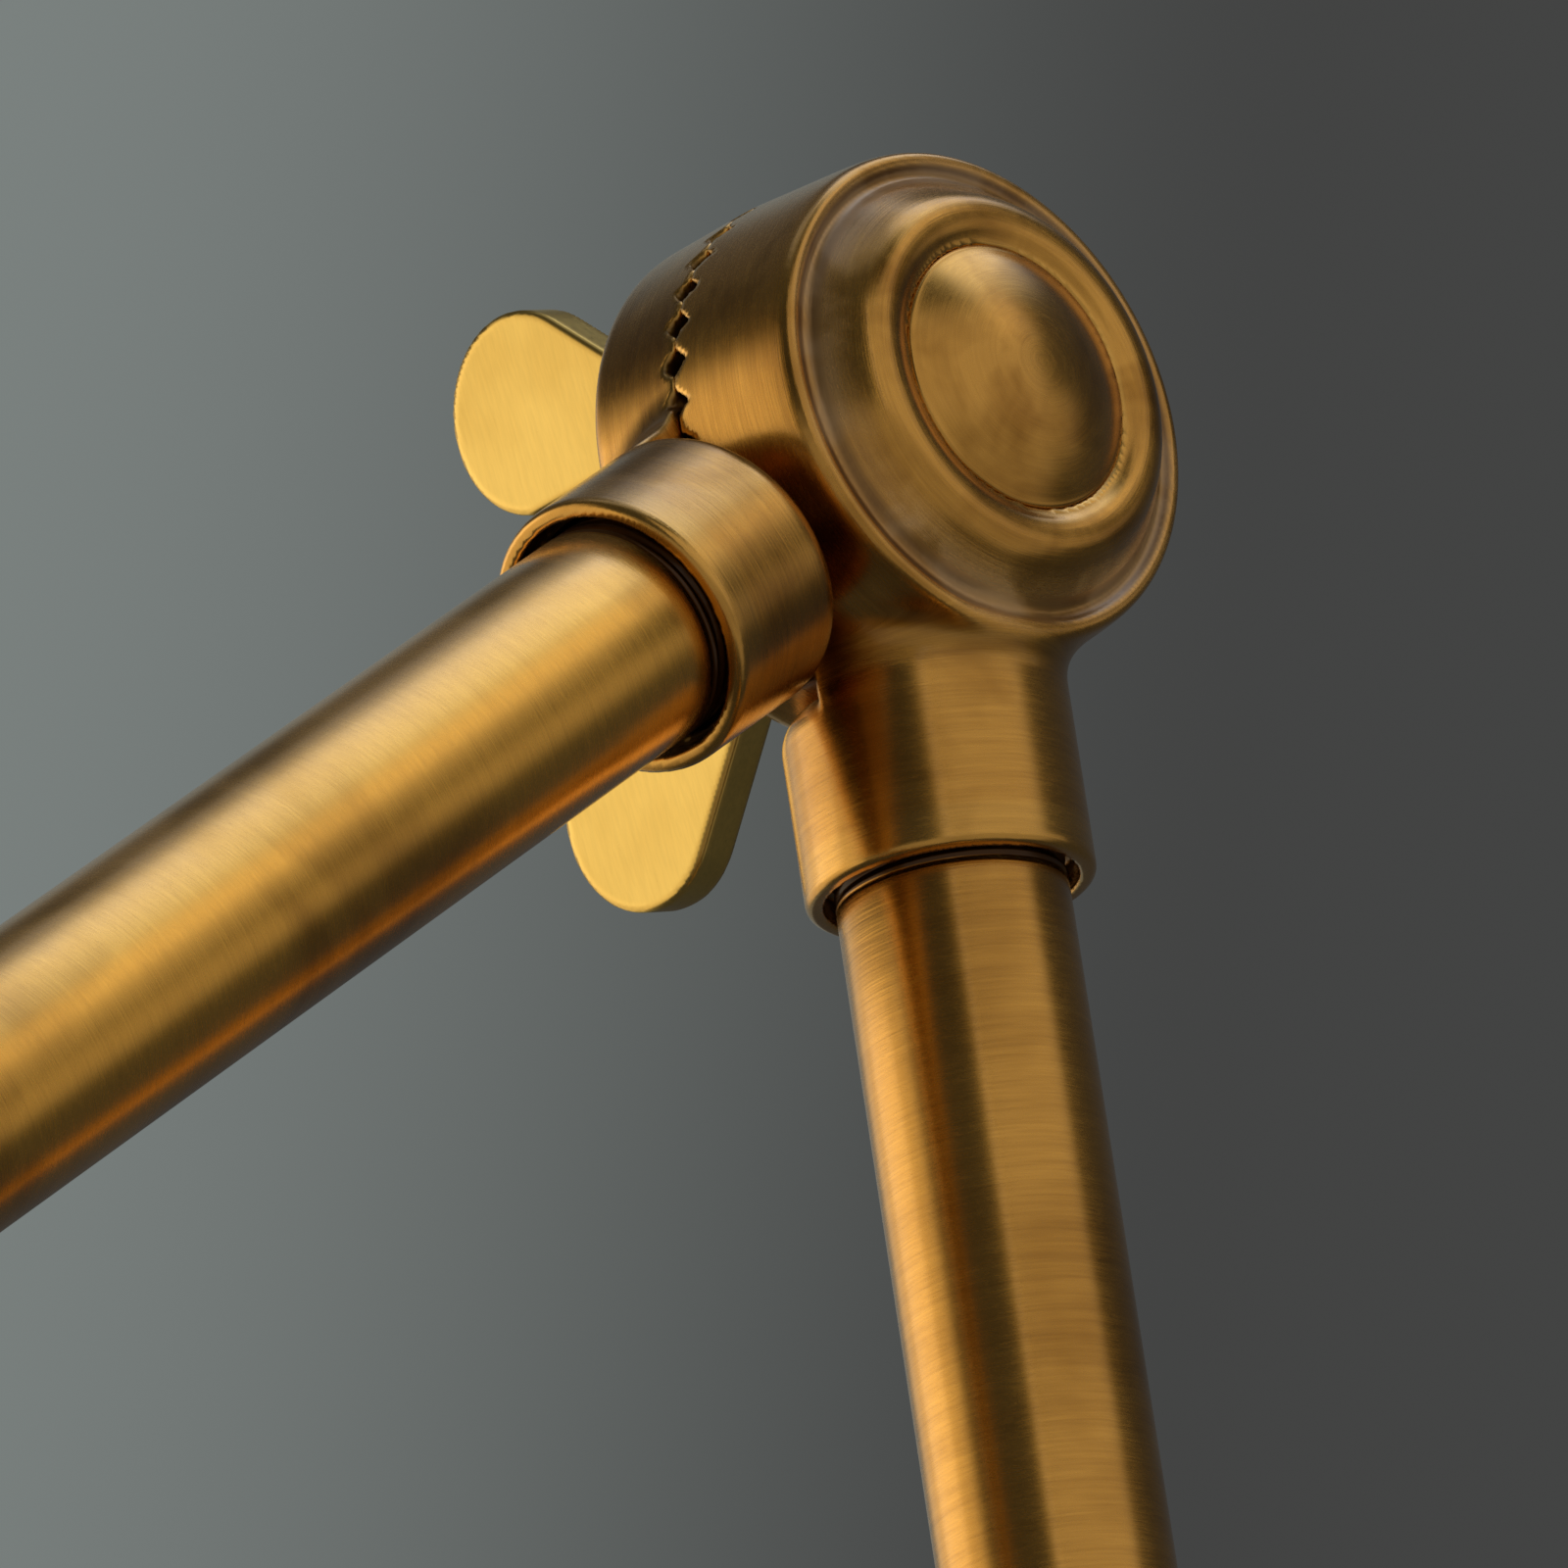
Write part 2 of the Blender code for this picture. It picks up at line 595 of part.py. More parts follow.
KNUCKLE_MESHES = {
    "front_half": front_half(),
    "rear_half": rear_half(),
    "dome_cap": dome_cap(),
    "pivot_bolt": pivot_bolt(),
    "spring": parting_spring(),
    "washer": washer(),
    "wing_nut": wing_nut(),
}
KNUCKLE_SLOTS = {"pivot_bolt": "steel", "spring": "steel", "wing_nut": "polished_brass"}


def knuckle(name, place, front_angle, rear_angle):
    """One knuckle at a hinge: its pieces share their meshes with the other knuckles'."""
    hinge = empty_at(name + "_hinge", place)
    for part, mesh in KNUCKLE_MESHES.items():
        angle = front_angle
        if part in ("rear_half", "washer"):
            angle = rear_angle
        if part == "wing_nut":
            angle = WING_ANGLE
        slot = KNUCKLE_SLOTS.get(part, "antique_brass")
        add_piece(name + "_" + part, mesh, slot, hinge, across(angle))
    return hinge


# Arms and leads

def tube(start, end):
    """A hollow tube along local Z."""
    return ring(TUBE_BORE, TUBE_RADIUS, start, end)


def knuckle_lead(length, start_side, end_side):
    """Route of a lead along local Z between two hinges: off the middle plane inside each knuckle,
    and eased to the tube's axis between them.  Each side is +1 for a front half, -1 for a rear."""
    straight = SOCKET_FLOOR + MM
    points = []
    for side, sign, origin in ((start_side, 1, 0), (end_side, -1, length)):
        stretch = [(side * LEAD_OFFSET, 0, origin + sign * LEAD_END),
                   (side * LEAD_OFFSET, 0, origin + sign * (LEAD_END + straight) / 2)]
        for i in range(6):
            t = i / 5
            offset = side * LEAD_OFFSET * (1 - t * t * (3 - 2 * t))
            stretch.append((offset, 0, origin + sign * (straight + LEAD_EASE * t)))
        points += stretch if sign == 1 else list(reversed(stretch))
    return points


def arms(base_hinge, elbow):
    """The two arm tubes and the leads inside them."""
    lower = tube(TUBE_END, LOWER_ARM_LENGTH - TUBE_END)
    add_piece("lower_tube", lower, "antique_brass", base_hinge, along(UP))
    lead = wire(knuckle_lead(LOWER_ARM_LENGTH, -1, 1), LEAD_RADIUS)
    add_piece("lower_lead", lead, "lead_sheath", base_hinge, along(UP))
    upper = tube(TUBE_END, UPPER_ARM_LENGTH - TUBE_END)
    add_piece("upper_tube", upper, "antique_brass", elbow, along(ARM_ANGLE))
    lead = wire(knuckle_lead(UPPER_ARM_LENGTH, -1, 1), LEAD_RADIUS)
    add_piece("upper_lead", lead, "lead_sheath", elbow, along(ARM_ANGLE))


# Base

def base_cover():
    """Spun cover: vertical edge, small step, broad crown and a boss for the post."""
    outline = [(BUSH_RADIUS + GAP, BOSS_HEIGHT), (BOSS_RADIUS, BOSS_HEIGHT)]
    outline += [(BOSS_RADIUS + r, BASE_CROWN_HEIGHT + z) for r, z in BOSS_FLARE]
    outline += [(BASE_RADIUS - r, BASE_CROWN_HEIGHT - z) for r, z in CROWN_FALL]
    outline += [(BASE_RADIUS - r, BASE_EDGE_HEIGHT + z) for r, z in EDGE_STEP]
    outline += [(BASE_RADIUS, BASE_EDGE_HEIGHT), (BASE_RADIUS, BASE_LIFT)]
    shell = turned_sheet(outline, COVER_WALL, -1, WIDE)
    hole = rod(GLAND_RADIUS + GAP, BASE_RADIUS - 4 * COVER_WALL, BASE_RADIUS + COVER_WALL, 16)
    hole = placed(hole, Matrix.Translation((0, 0, LEAD_LEVEL)) @ Matrix.Rotation(-math.pi / 2, 4, "X"))
    return combine(shell, "DIFFERENCE", hole)


def screw_places():
    """Centres of the plate's screws."""
    angles = [UP + 2 * math.pi * (i + 0.5) / SCREW_COUNT for i in range(SCREW_COUNT)]
    return [Vector((SCREW_CIRCLE * math.cos(a), SCREW_CIRCLE * math.sin(a), 0)) for a in angles]


def countersunk():
    """A countersunk screw, head down, along local Z."""
    neck = PLATE_BOTTOM + SCREW_HEAD_RADIUS - SCREW_RADIUS
    top = PLATE_BOTTOM + SCREW_LENGTH
    return turned([(0, top), (SCREW_RADIUS, top), (SCREW_RADIUS, neck),
                   (SCREW_HEAD_RADIUS, PLATE_BOTTOM), (0, PLATE_BOTTOM)], 12)


def countersunk_hole():
    """Cutter for a screw's hole: the screw grown by the gap, and run out below the plate."""
    neck = PLATE_BOTTOM + SCREW_HEAD_RADIUS - SCREW_RADIUS
    top = PLATE_BOTTOM + SCREW_LENGTH + GAP
    head = SCREW_HEAD_RADIUS + GAP
    shank = SCREW_RADIUS + GAP
    return turned([(0, top), (shank, top), (shank, neck),
                   (head, PLATE_BOTTOM), (head, PLATE_BOTTOM - MM), (0, PLATE_BOTTOM - MM)], 12)


def base_weight():
    """Cast iron ballast with a recess for the bush's nut, a groove for the lead and screw holes."""
    bore = BUSH_RADIUS + GAP
    weight = turned([(bore, WEIGHT_TOP),
                     (0.55 * WEIGHT_RADIUS, WEIGHT_TOP),
                     (WEIGHT_RADIUS, WEIGHT_BOTTOM + WEIGHT_EDGE_HEIGHT),
                     (WEIGHT_RADIUS, WEIGHT_BOTTOM),
                     (WEIGHT_RECESS_RADIUS, WEIGHT_BOTTOM),
                     (WEIGHT_RECESS_RADIUS, RECESS_TOP),
                     (bore, RECESS_TOP)], WIDE)
    half = GROOVE_WIDTH / 2
    groove = box((-half, 0, WEIGHT_BOTTOM - MM), (half, WEIGHT_RADIUS + MM, WEIGHT_BOTTOM + GROOVE_HEIGHT))
    weight = combine(weight, "DIFFERENCE", groove)
    for place in screw_places():
        weight = combine(weight, "DIFFERENCE", placed(countersunk_hole(), Matrix.Translation(place)))
    return weight


def base_plate():
    """Steel plate that closes the base."""
    plate = rod(BASE_RADIUS - FELT_INSET - PLATE_INSET, PLATE_BOTTOM, PLATE_TOP, WIDE)
    for place in screw_places():
        plate = combine(plate, "DIFFERENCE", placed(countersunk_hole(), Matrix.Translation(place)))
    return plate


def base_bush():
    """Flanged bush that clamps cover and weight, and that the post turns in."""
    flange = BUSH_RADIUS + BUSH_FLANGE_WIDTH
    return turned([(flange, BUSH_TOP), (flange, BUSH_TOP - BUSH_FLANGE_HEIGHT),
                   (BUSH_RADIUS, BUSH_TOP - BUSH_FLANGE_HEIGHT), (BUSH_RADIUS, BUSH_BOTTOM),
                   (BUSH_BORE, BUSH_BOTTOM), (BUSH_BORE, BUSH_TOP)], ROUND)


def cord_gland():
    """Bush in the back of the cover that a supply cord would enter by."""
    wall_face = BASE_RADIUS + GAP
    outer = wall_face + GLAND_FLANGE_HEIGHT
    bore = LEAD_RADIUS + GAP
    gland = turned([(GLAND_FLANGE_RADIUS, outer), (GLAND_FLANGE_RADIUS, wall_face),
                    (GLAND_RADIUS, wall_face), (GLAND_RADIUS, wall_face - GLAND_LENGTH),
                    (bore, wall_face - GLAND_LENGTH), (bore, outer)], 16)
    return placed(gland, Matrix.Translation((0, 0, LEAD_LEVEL)) @ Matrix.Rotation(-math.pi / 2, 4, "X"))


def base_lead_route():
    """From the gland along the groove, then a quarter bend up the post's axis."""
    centre = (LEAD_BEND, LEAD_LEVEL + LEAD_BEND)
    points = [(0, BASE_RADIUS, LEAD_LEVEL), (0, BASE_RADIUS / 2, LEAD_LEVEL)]
    points += [(0, y, z) for y, z in arc(centre, LEAD_BEND, -UP, -math.pi, 7)]
    points.append((0, 0, LEAD_JOIN))
    return points


def base(swivel):
    """Base, and the post that turns in it."""
    felt = rod(BASE_RADIUS - FELT_INSET, 0, FELT_HEIGHT, WIDE)
    add_piece("felt_pad", felt, "felt", None)
    add_piece("base_plate", base_plate(), "steel", None)
    add_piece("base_weight", base_weight(), "cast_iron", None)
    add_piece("base_cover", base_cover(), "antique_brass", None)
    for number, place in enumerate(screw_places(), 1):
        add_piece(f"plate_screw_{number}", countersunk(), "steel", None, Matrix.Translation(place))
    add_piece("base_bush", base_bush(), "antique_brass", None)
    nut = ring(BUSH_RADIUS + GAP, BUSH_RADIUS + BUSH_NUT_WALL,
               BUSH_NUT_TOP - BUSH_NUT_HEIGHT, BUSH_NUT_TOP, 16)
    add_piece("bush_nut", nut, "steel", None)
    add_piece("cord_gland", cord_gland(), "black_plastic", None)
    add_piece("base_lead", wire(base_lead_route(), LEAD_RADIUS), "lead_sheath", None)

    post = tube(POST_BOTTOM, BASE_HINGE_HEIGHT - TUBE_END)
    add_piece("swivel_post", post, "antique_brass", swivel)
    clip = ring(TUBE_RADIUS + GAP, TUBE_RADIUS + CLIP_WALL, POST_BOTTOM, CLIP_TOP)
    add_piece("post_clip", clip, "steel", swivel)
    seat = BUSH_TOP + GAP
    collar = turned([(TUBE_RADIUS + POST_COLLAR_WALL - MM, seat + POST_COLLAR_HEIGHT),
                     (TUBE_RADIUS + POST_COLLAR_WALL, seat + POST_COLLAR_HEIGHT - MM),
                     (TUBE_RADIUS + POST_COLLAR_WALL, seat),
                     (TUBE_RADIUS + GAP, seat),
                     (TUBE_RADIUS + GAP, seat + POST_COLLAR_HEIGHT)], ROUND)
    add_piece("post_collar", collar, "antique_brass", swivel)
    route = knuckle_lead(BASE_HINGE_HEIGHT, 1, 1)[:8]
    route.append((0, 0, BASE_HINGE_HEIGHT - LEAD_JOIN - GAP))
    lead = placed(wire(route, LEAD_RADIUS), Matrix.Translation(BASE_HINGE) @ along(DOWN))
    add_piece("post_lead", lead, "lead_sheath", swivel)


# Head.  Local Z runs from the head hinge along the stem.

def holder_cup():
    """Brass cup over the lamp holder, with a neck round the stem and a hole for the switch."""
    bore = TUBE_RADIUS + GAP
    neck = bore + CUP_NECK_WALL
    inner = CUP_RADIUS - CUP_WALL
    outer_turn = CUP_FLOOR - CUP_WALL
    cup = turned([(neck + CUP_WALL, outer_turn),
                  (neck, CUP_TOP),
                  (bore, CUP_TOP),
                  (bore, CUP_FLOOR),
                  (inner - CUP_SHOULDER, CUP_FLOOR),
                  (inner, CUP_FLOOR + CUP_SHOULDER),
                  (inner, CUP_END),
                  (CUP_RADIUS, CUP_END),
                  (CUP_RADIUS, outer_turn + CUP_SHOULDER),
                  (CUP_RADIUS - CUP_SHOULDER, outer_turn)][::-1], 24)
    hole = rod(SWITCH_SHAFT_RADIUS + GAP, inner - 2 * MM, CUP_RADIUS + 2 * MM, 12)
    hole = placed(hole, Matrix.Translation((0, 0, SWITCH_LEVEL)) @ Matrix.Rotation(UP, 4, "Y"))
    return combine(cup, "DIFFERENCE", hole)


def lamp_holder():
    """Porcelain lamp holder with a socket for the bulb and a hole for the switch's shaft."""
    outer = CUP_RADIUS - CUP_WALL - GAP
    socket = BULB_CAP_RADIUS + GAP
    holder = turned([(0, HOLDER_FLOOR), (socket, HOLDER_FLOOR), (socket, HOLDER_END),
                     (outer, HOLDER_END), (outer, HOLDER_TOP), (0, HOLDER_TOP)], 24)
    hole = rod(SWITCH_SHAFT_RADIUS + GAP, SWITCH_SHAFT_START - GAP, outer + 2 * MM, 12)
    hole = placed(hole, Matrix.Translation((0, 0, SWITCH_LEVEL)) @ Matrix.Rotation(UP, 4, "Y"))
    return combine(holder, "DIFFERENCE", hole)


def bulb_cap():
    """Metal shell of the bulb's cap, open at its tip."""
    outer = BULB_CAP_RADIUS
    inner = outer - BULB_CAP_WALL
    shoulder = BULB_CAP_TOP + BULB_CAP_SHOULDER
    return turned([(inner, BULB_CAP_END), (outer, BULB_CAP_END), (outer, shoulder),
                   (BULB_TIP_RADIUS + GAP, BULB_CAP_TOP),
                   (BULB_TIP_RADIUS + GAP, BULB_CAP_TOP + BULB_CAP_WALL),
                   (inner, shoulder + BULB_CAP_WALL)], ROUND)


def bulb_glass():
    """Blown globe with a neck that is open inside the cap."""
    neck = BULB_CAP_RADIUS - BULB_CAP_WALL - GAP
    throat = neck + BULB_THROAT_FLARE
    start = -math.acos(throat / BULB_RADIUS)
    outer = [(neck, BULB_NECK_START), (neck, BULB_CAP_END)]
    outer += arc((0, BULB_CENTRE), BULB_RADIUS, start, UP, 7)
    outer[-1] = (0, BULB_CENTRE + BULB_RADIUS)
    inner = arc((0, BULB_CENTRE), BULB_RADIUS - BULB_GLASS, UP, start, 7)
    inner[0] = (0, BULB_CENTRE + BULB_RADIUS - BULB_GLASS)
    inner += [(neck - BULB_GLASS, BULB_CAP_END), (neck - BULB_GLASS, BULB_NECK_START)]
    return turned_loop(outer + inner, ROUND)


def bulb_stem():
    """Glass mount: a flare in the bulb's neck and a pillar that holds the filament."""
    flare = BULB_CAP_RADIUS - BULB_CAP_WALL - 2 * GAP - BULB_GLASS
    return turned([(0, STEM_GLASS_END), (STEM_GLASS_RADIUS, STEM_GLASS_END),
                   (STEM_GLASS_RADIUS, BULB_NECK_START + STEM_FLARE_LENGTH),
                   (flare, BULB_NECK_START + STEM_FLARE_EDGE),
                   (flare, BULB_NECK_START), (0, BULB_NECK_START)], 16)


def filament_route():
    """Two lead wires up the pillar's sides and a zigzag between them."""
    side = STEM_GLASS_RADIUS + GAP + FILAMENT_RADIUS
    low = STEM_GLASS_END - FILAMENT_ROOT
    high = STEM_GLASS_END + FILAMENT_RISE
    points = [(side, 0, low), (side, 0, STEM_GLASS_END)]
    for i in range(FILAMENT_PEAKS + 1):
        reach = FILAMENT_REACH * (1 - 2 * i / FILAMENT_PEAKS)
        swing = FILAMENT_SWING if i % 2 else -FILAMENT_SWING
        points.append((reach, 0, high + swing))
    points += [(-side, 0, STEM_GLASS_END), (-side, 0, low)]
    return points


def shade():
    """Spun shade: a flat seat, a rounded shoulder, a straight flare and a rolled rim."""
    seat = CUP_END + GAP
    bore = CUP_RADIUS - CUP_WALL
    outer = [(bore, seat), (SHADE_FLAT_RADIUS, seat)]
    centre = (SHADE_FLAT_RADIUS, seat + SHADE_SHOULDER)
    outer += arc(centre, SHADE_SHOULDER, -UP, -SHADE_SHOULDER_END, 4)[1:]
    outer.append((SHADE_RADIUS, SHADE_END))
    shell = turned_sheet(outer, SHADE_WALL, 1, WIDE)
    rim = turned(arc((SHADE_RADIUS, SHADE_END), SHADE_RIM_RADIUS, math.pi, -math.pi, 7)[:-1], WIDE)
    return combine(shell, "UNION", rim)


def knob():
    """Fluted knob on the switch's shaft, along local Z."""
    start = CUP_RADIUS + SWITCH_STANDOFF
    count = KNOB_FLUTES * 2
    rims = [KNOB_RADIUS - (KNOB_FLUTE_DEPTH if i % 2 else 0) for i in range(count)]
    outline = [(r * math.cos(2 * math.pi * i / count), r * math.sin(2 * math.pi * i / count))
               for i, r in enumerate(rims)]
    body = placed(flat_outline(outline, KNOB_LENGTH), Matrix.Translation((0, 0, start + KNOB_LENGTH / 2)))
    bore = rod(SWITCH_SHAFT_RADIUS + GAP, start - MM, start + KNOB_LENGTH - KNOB_END, 12)
    return combine(body, "DIFFERENCE", bore)


def head(head_hinge, switch):
    """Everything on the head's stem."""
    hang = along(HEAD_ANGLE)
    add_piece("head_stem", tube(TUBE_END, STEM_END), "antique_brass", head_hinge, hang)
    seat = CUP_FLOOR + GAP
    nut = ring(TUBE_RADIUS + GAP, TUBE_RADIUS + STEM_NUT_WALL, seat, seat + STEM_NUT_HEIGHT, 16)
    add_piece("stem_nut", nut, "steel", head_hinge, hang)
    add_piece("holder_cup", holder_cup(), "antique_brass", head_hinge, hang)
    add_piece("lamp_holder", lamp_holder(), "porcelain", head_hinge, hang)
    contact = rod(BULB_TIP_RADIUS - MM, HOLDER_FLOOR + GAP, BULB_TIP_TOP - GAP, 12)
    add_piece("holder_contact", contact, "steel", head_hinge, hang)
    add_piece("bulb_cap", bulb_cap(), "steel", head_hinge, hang)
    tip_base = BULB_CAP_TOP + BULB_CAP_SHOULDER
    tip = turned([(0, tip_base),
                  (BULB_TIP_RADIUS, tip_base),
                  (BULB_TIP_RADIUS, BULB_TIP_TOP + BULB_TIP_BEVEL),
                  (BULB_TIP_RADIUS - 2 * BULB_TIP_BEVEL, BULB_TIP_TOP),
                  (0, BULB_TIP_TOP)], 16)
    add_piece("bulb_tip", tip, "steel", head_hinge, hang)
    add_piece("bulb_glass", bulb_glass(), "clear_glass", head_hinge, hang)
    add_piece("bulb_stem", bulb_stem(), "clear_glass", head_hinge, hang)
    add_piece("bulb_filament", wire(filament_route(), FILAMENT_RADIUS, 6), "tungsten", head_hinge, hang)
    add_piece("shade", shade(), "antique_brass", head_hinge, hang)
    clamp = CUP_END + 2 * GAP + SHADE_WALL
    bore = CUP_RADIUS - CUP_WALL
    add_piece("shade_ring", ring(bore, bore + RING_NUT_WALL, clamp, clamp + RING_NUT_HEIGHT, 32),
              "antique_brass", head_hinge, hang)
    route = knuckle_lead(BASE_HINGE_HEIGHT, -1, 1)[:8]
    route.append((0, 0, HOLDER_TOP - GAP))
    add_piece("head_lead", wire(route, LEAD_RADIUS), "lead_sheath", head_hinge, hang)

    lay = Matrix.Rotation(UP, 4, "Y")
    knob_floor = CUP_RADIUS + SWITCH_STANDOFF + KNOB_LENGTH - KNOB_END
    shaft = rod(SWITCH_SHAFT_RADIUS, SWITCH_SHAFT_START, knob_floor - GAP, 12)
    add_piece("switch_shaft", shaft, "steel", switch, lay)
    add_piece("switch_knob", knob(), "black_plastic", switch, lay)


# The lamp

base_hinge = knuckle("base", BASE_HINGE, DOWN, UP)
elbow = knuckle("elbow", ELBOW, DOWN, ARM_ANGLE)
head_hinge = knuckle("head", HEAD_HINGE, ARM_ANGLE + math.pi, HEAD_ANGLE)
arms(base_hinge, elbow)
base(empty_at("swivel_axis", (0, 0, 0)))
stem_direction = Vector((0, math.cos(HEAD_ANGLE), math.sin(HEAD_ANGLE)))
head(head_hinge, empty_at("switch_axis", HEAD_HINGE + SWITCH_LEVEL * stem_direction))
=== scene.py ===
"""Swing arm desk lamp in antique brass: the looks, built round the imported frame.

The three toothed knuckles come first, with the cast, turned and ground pieces that they share, then
the arm tubes, the base, and the head with its holder, bulb, shade and switch.  Metres, +Z up.
"""

import json
import math

import bpy
import numpy as np
from mathutils import Matrix, Vector


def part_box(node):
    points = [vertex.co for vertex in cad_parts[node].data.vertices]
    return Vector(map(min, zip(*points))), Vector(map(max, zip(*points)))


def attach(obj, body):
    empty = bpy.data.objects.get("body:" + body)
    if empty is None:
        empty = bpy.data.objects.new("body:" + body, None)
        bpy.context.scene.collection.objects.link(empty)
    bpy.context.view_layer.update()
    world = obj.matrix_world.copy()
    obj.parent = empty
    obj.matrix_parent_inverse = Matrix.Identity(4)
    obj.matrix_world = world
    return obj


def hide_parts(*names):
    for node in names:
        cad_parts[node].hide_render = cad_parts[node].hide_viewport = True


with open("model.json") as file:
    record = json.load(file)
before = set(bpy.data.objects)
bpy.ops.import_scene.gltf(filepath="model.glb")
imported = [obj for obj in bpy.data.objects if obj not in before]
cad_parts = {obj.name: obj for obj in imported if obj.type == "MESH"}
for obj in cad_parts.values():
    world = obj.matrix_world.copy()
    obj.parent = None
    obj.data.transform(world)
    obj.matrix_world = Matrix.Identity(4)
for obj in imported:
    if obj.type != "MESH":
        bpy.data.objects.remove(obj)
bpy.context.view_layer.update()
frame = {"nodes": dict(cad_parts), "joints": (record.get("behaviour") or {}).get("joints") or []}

MM = 0.001
HINGES = {j["name"]: Vector(j["pos_m"]) for j in frame["joints"]}
ELBOW = HINGES["elbow_hinge"]


# ---- Camera ----------------------------------------------
# A long lens a little over a metre from the elbow knuckle, near the table and looking up at it,
# tilted so that the lower arm leans to the right.

CAMERA_DISTANCE = 1100 * MM
CAMERA_AZIMUTH = math.radians(-43.75)
CAMERA_ELEVATION = math.radians(-19.97)
CAMERA_ROLL = math.radians(-8.62)
CAMERA_ASIDE = 6.79 * MM
CAMERA_ABOVE = 22.87 * MM
CAMERA_LENS = 368.8

towards = Vector((math.cos(CAMERA_AZIMUTH) * math.cos(CAMERA_ELEVATION),
                  math.sin(CAMERA_AZIMUTH) * math.cos(CAMERA_ELEVATION),
                  math.sin(CAMERA_ELEVATION)))
level_right = Vector((0, 0, 1)).cross(towards).normalized()
level_up = towards.cross(level_right)
right = math.cos(CAMERA_ROLL) * level_right + math.sin(CAMERA_ROLL) * level_up
above = math.cos(CAMERA_ROLL) * level_up - math.sin(CAMERA_ROLL) * level_right
camera = bpy.data.objects.new("camera", bpy.data.cameras.new("camera"))
camera.data.sensor_width = 36
camera.data.lens = CAMERA_LENS
camera.data.clip_start = 0.05
camera.data.clip_end = 100
place = ELBOW + CAMERA_DISTANCE * towards - CAMERA_ASIDE * right - CAMERA_ABOVE * above
axes = Matrix((right, above, towards)).transposed()
camera.matrix_world = Matrix.Translation(place) @ axes.to_4x4()
bpy.context.scene.collection.objects.link(camera)
bpy.context.scene.camera = camera


# ---- Studio ----------------------------------------------
# A pale matt floor in a dark room.  Large even screens of light on the room's walls give the brass
# its broad streaks; weak lamps only soften it.  Behind the lamp a wall fades from light to dark.

FLOOR_SIZE = 60.0
FLOOR_DROP = 0.0002
FLOOR_COLOUR = (0.72, 0.72, 0.70)
ROOM_DARK = (0.056, 0.057, 0.056)
BACKDROP_LIGHT = (0.198, 0.222, 0.214)
BACKDROP = (105, 175, -30, 46, 6)     # azimuth from and to, elevation from and to, edge, in degrees
BACKDROP_SPAN = (0.030, -0.060)       # sines of the angles to the right where it is dark and light
BACKDROP_LEAN = 0.1
SCREENS = (                           # the same five angles, then the colour
    (-140, 140, 64, 95, 7, (0.30, 0.33, 0.39)),
    (-100, 50, -60, -3, 7, (0.36, 0.33, 0.28)),
    (42, 60, -6, 12, 5, (0.36, 0.32, 0.25)),
    (-190, -112, -30, 29, 7, (0.92, 0.79, 0.56)),
    (-37, 42, -6, 42, 6, (0.54, 0.50, 0.44)),
    (-44, -37, -5, 45, 2, (0.80, 0.74, 0.64)),
    (27, 49, 30, 50, 6, (0.92, 0.84, 0.70)),
    (22, 96, 46, 80, 8, (0.86, 0.97, 1.20)),
)


def surface(name, points, *face_sets, smooth=True):
    """A mesh object at the origin from an array of points and arrays of faces, put in whole; each
    array's faces have the same number of corners."""
    mesh = bpy.data.meshes.new(name)
    face_sets = [np.asarray(faces, np.int32) for faces in face_sets if len(faces)]
    corners = np.concatenate([faces.ravel() for faces in face_sets])
    counts = np.concatenate([np.full(len(faces), faces.shape[1]) for faces in face_sets])
    mesh.vertices.add(len(points))
    mesh.vertices.foreach_set("co", np.asarray(points, np.float32).ravel())
    mesh.loops.add(len(corners))
    mesh.loops.foreach_set("vertex_index", corners)
    mesh.polygons.add(len(counts))
    mesh.polygons.foreach_set("loop_start", (np.cumsum(counts) - counts).astype(np.int32))
    mesh.update(calc_edges=True)
    mesh.validate()
    mesh.polygons.foreach_set("use_smooth", np.full(len(mesh.polygons), smooth))
    piece = bpy.data.objects.new(name, mesh)
    bpy.context.scene.collection.objects.link(piece)
    return piece


def is_output(value):
    """Whether a value is a node's output, given as (node, output)."""
    return isinstance(value, tuple) and isinstance(value[0], bpy.types.Node)


def feed(value, socket):
    """Joins an output to a socket, or sets the socket to a value."""
    if is_output(value):
        socket.id_data.links.new(value[0].outputs[value[1]], socket)
    else:
        socket.default_value = (*value, 1) if socket.type == "RGBA" else value


def new_node(kind, inputs=(), tree=None, **settings):
    """A shader node with its settings made and its inputs fed, by name or number.  Its tree need
    not be told where one of the inputs is an output."""
    tree = tree or next(v[0].id_data for v in dict(inputs).values() if is_output(v))
    node = tree.nodes.new("ShaderNode" + kind)
    for setting, value in settings.items():
        setattr(node, setting, value)
    for socket, value in dict(inputs).items():
        feed(value, node.inputs[socket])
    return node


def noise(vector, scale, detail=2.0, roughness=0.5, distortion=0.0):
    """The value of a noise texture that reads a vector output."""
    return new_node("TexNoise", {"Vector": vector, "Scale": scale, "Detail": detail,
                                 "Roughness": roughness, "Distortion": distortion}), "Fac"


def drawn_noise(vector, stretch, *amounts):
    """Noise of a vector multiplied axis by axis, which draws it out along the small axes."""
    moved = new_node("VectorMath", {0: vector, 1: stretch}, operation="MULTIPLY")
    return noise((moved, "Vector"), 1.0, *amounts)


def ramp(source, *stops):
    """A colour ramp over a value output, with two stops given as (level, colour)."""
    node = new_node("ValToRGB", {"Fac": source})
    for element, (level, colour) in zip(node.color_ramp.elements, stops):
        element.position = level
        element.color = (*colour, 1)
    return node, "Color"


def blended(factor, low, high, mode="MIX"):
    """A mix of two colours by a factor."""
    return new_node("Mix", {0: factor, 6: low, 7: high}, data_type="RGBA", blend_type=mode), 2


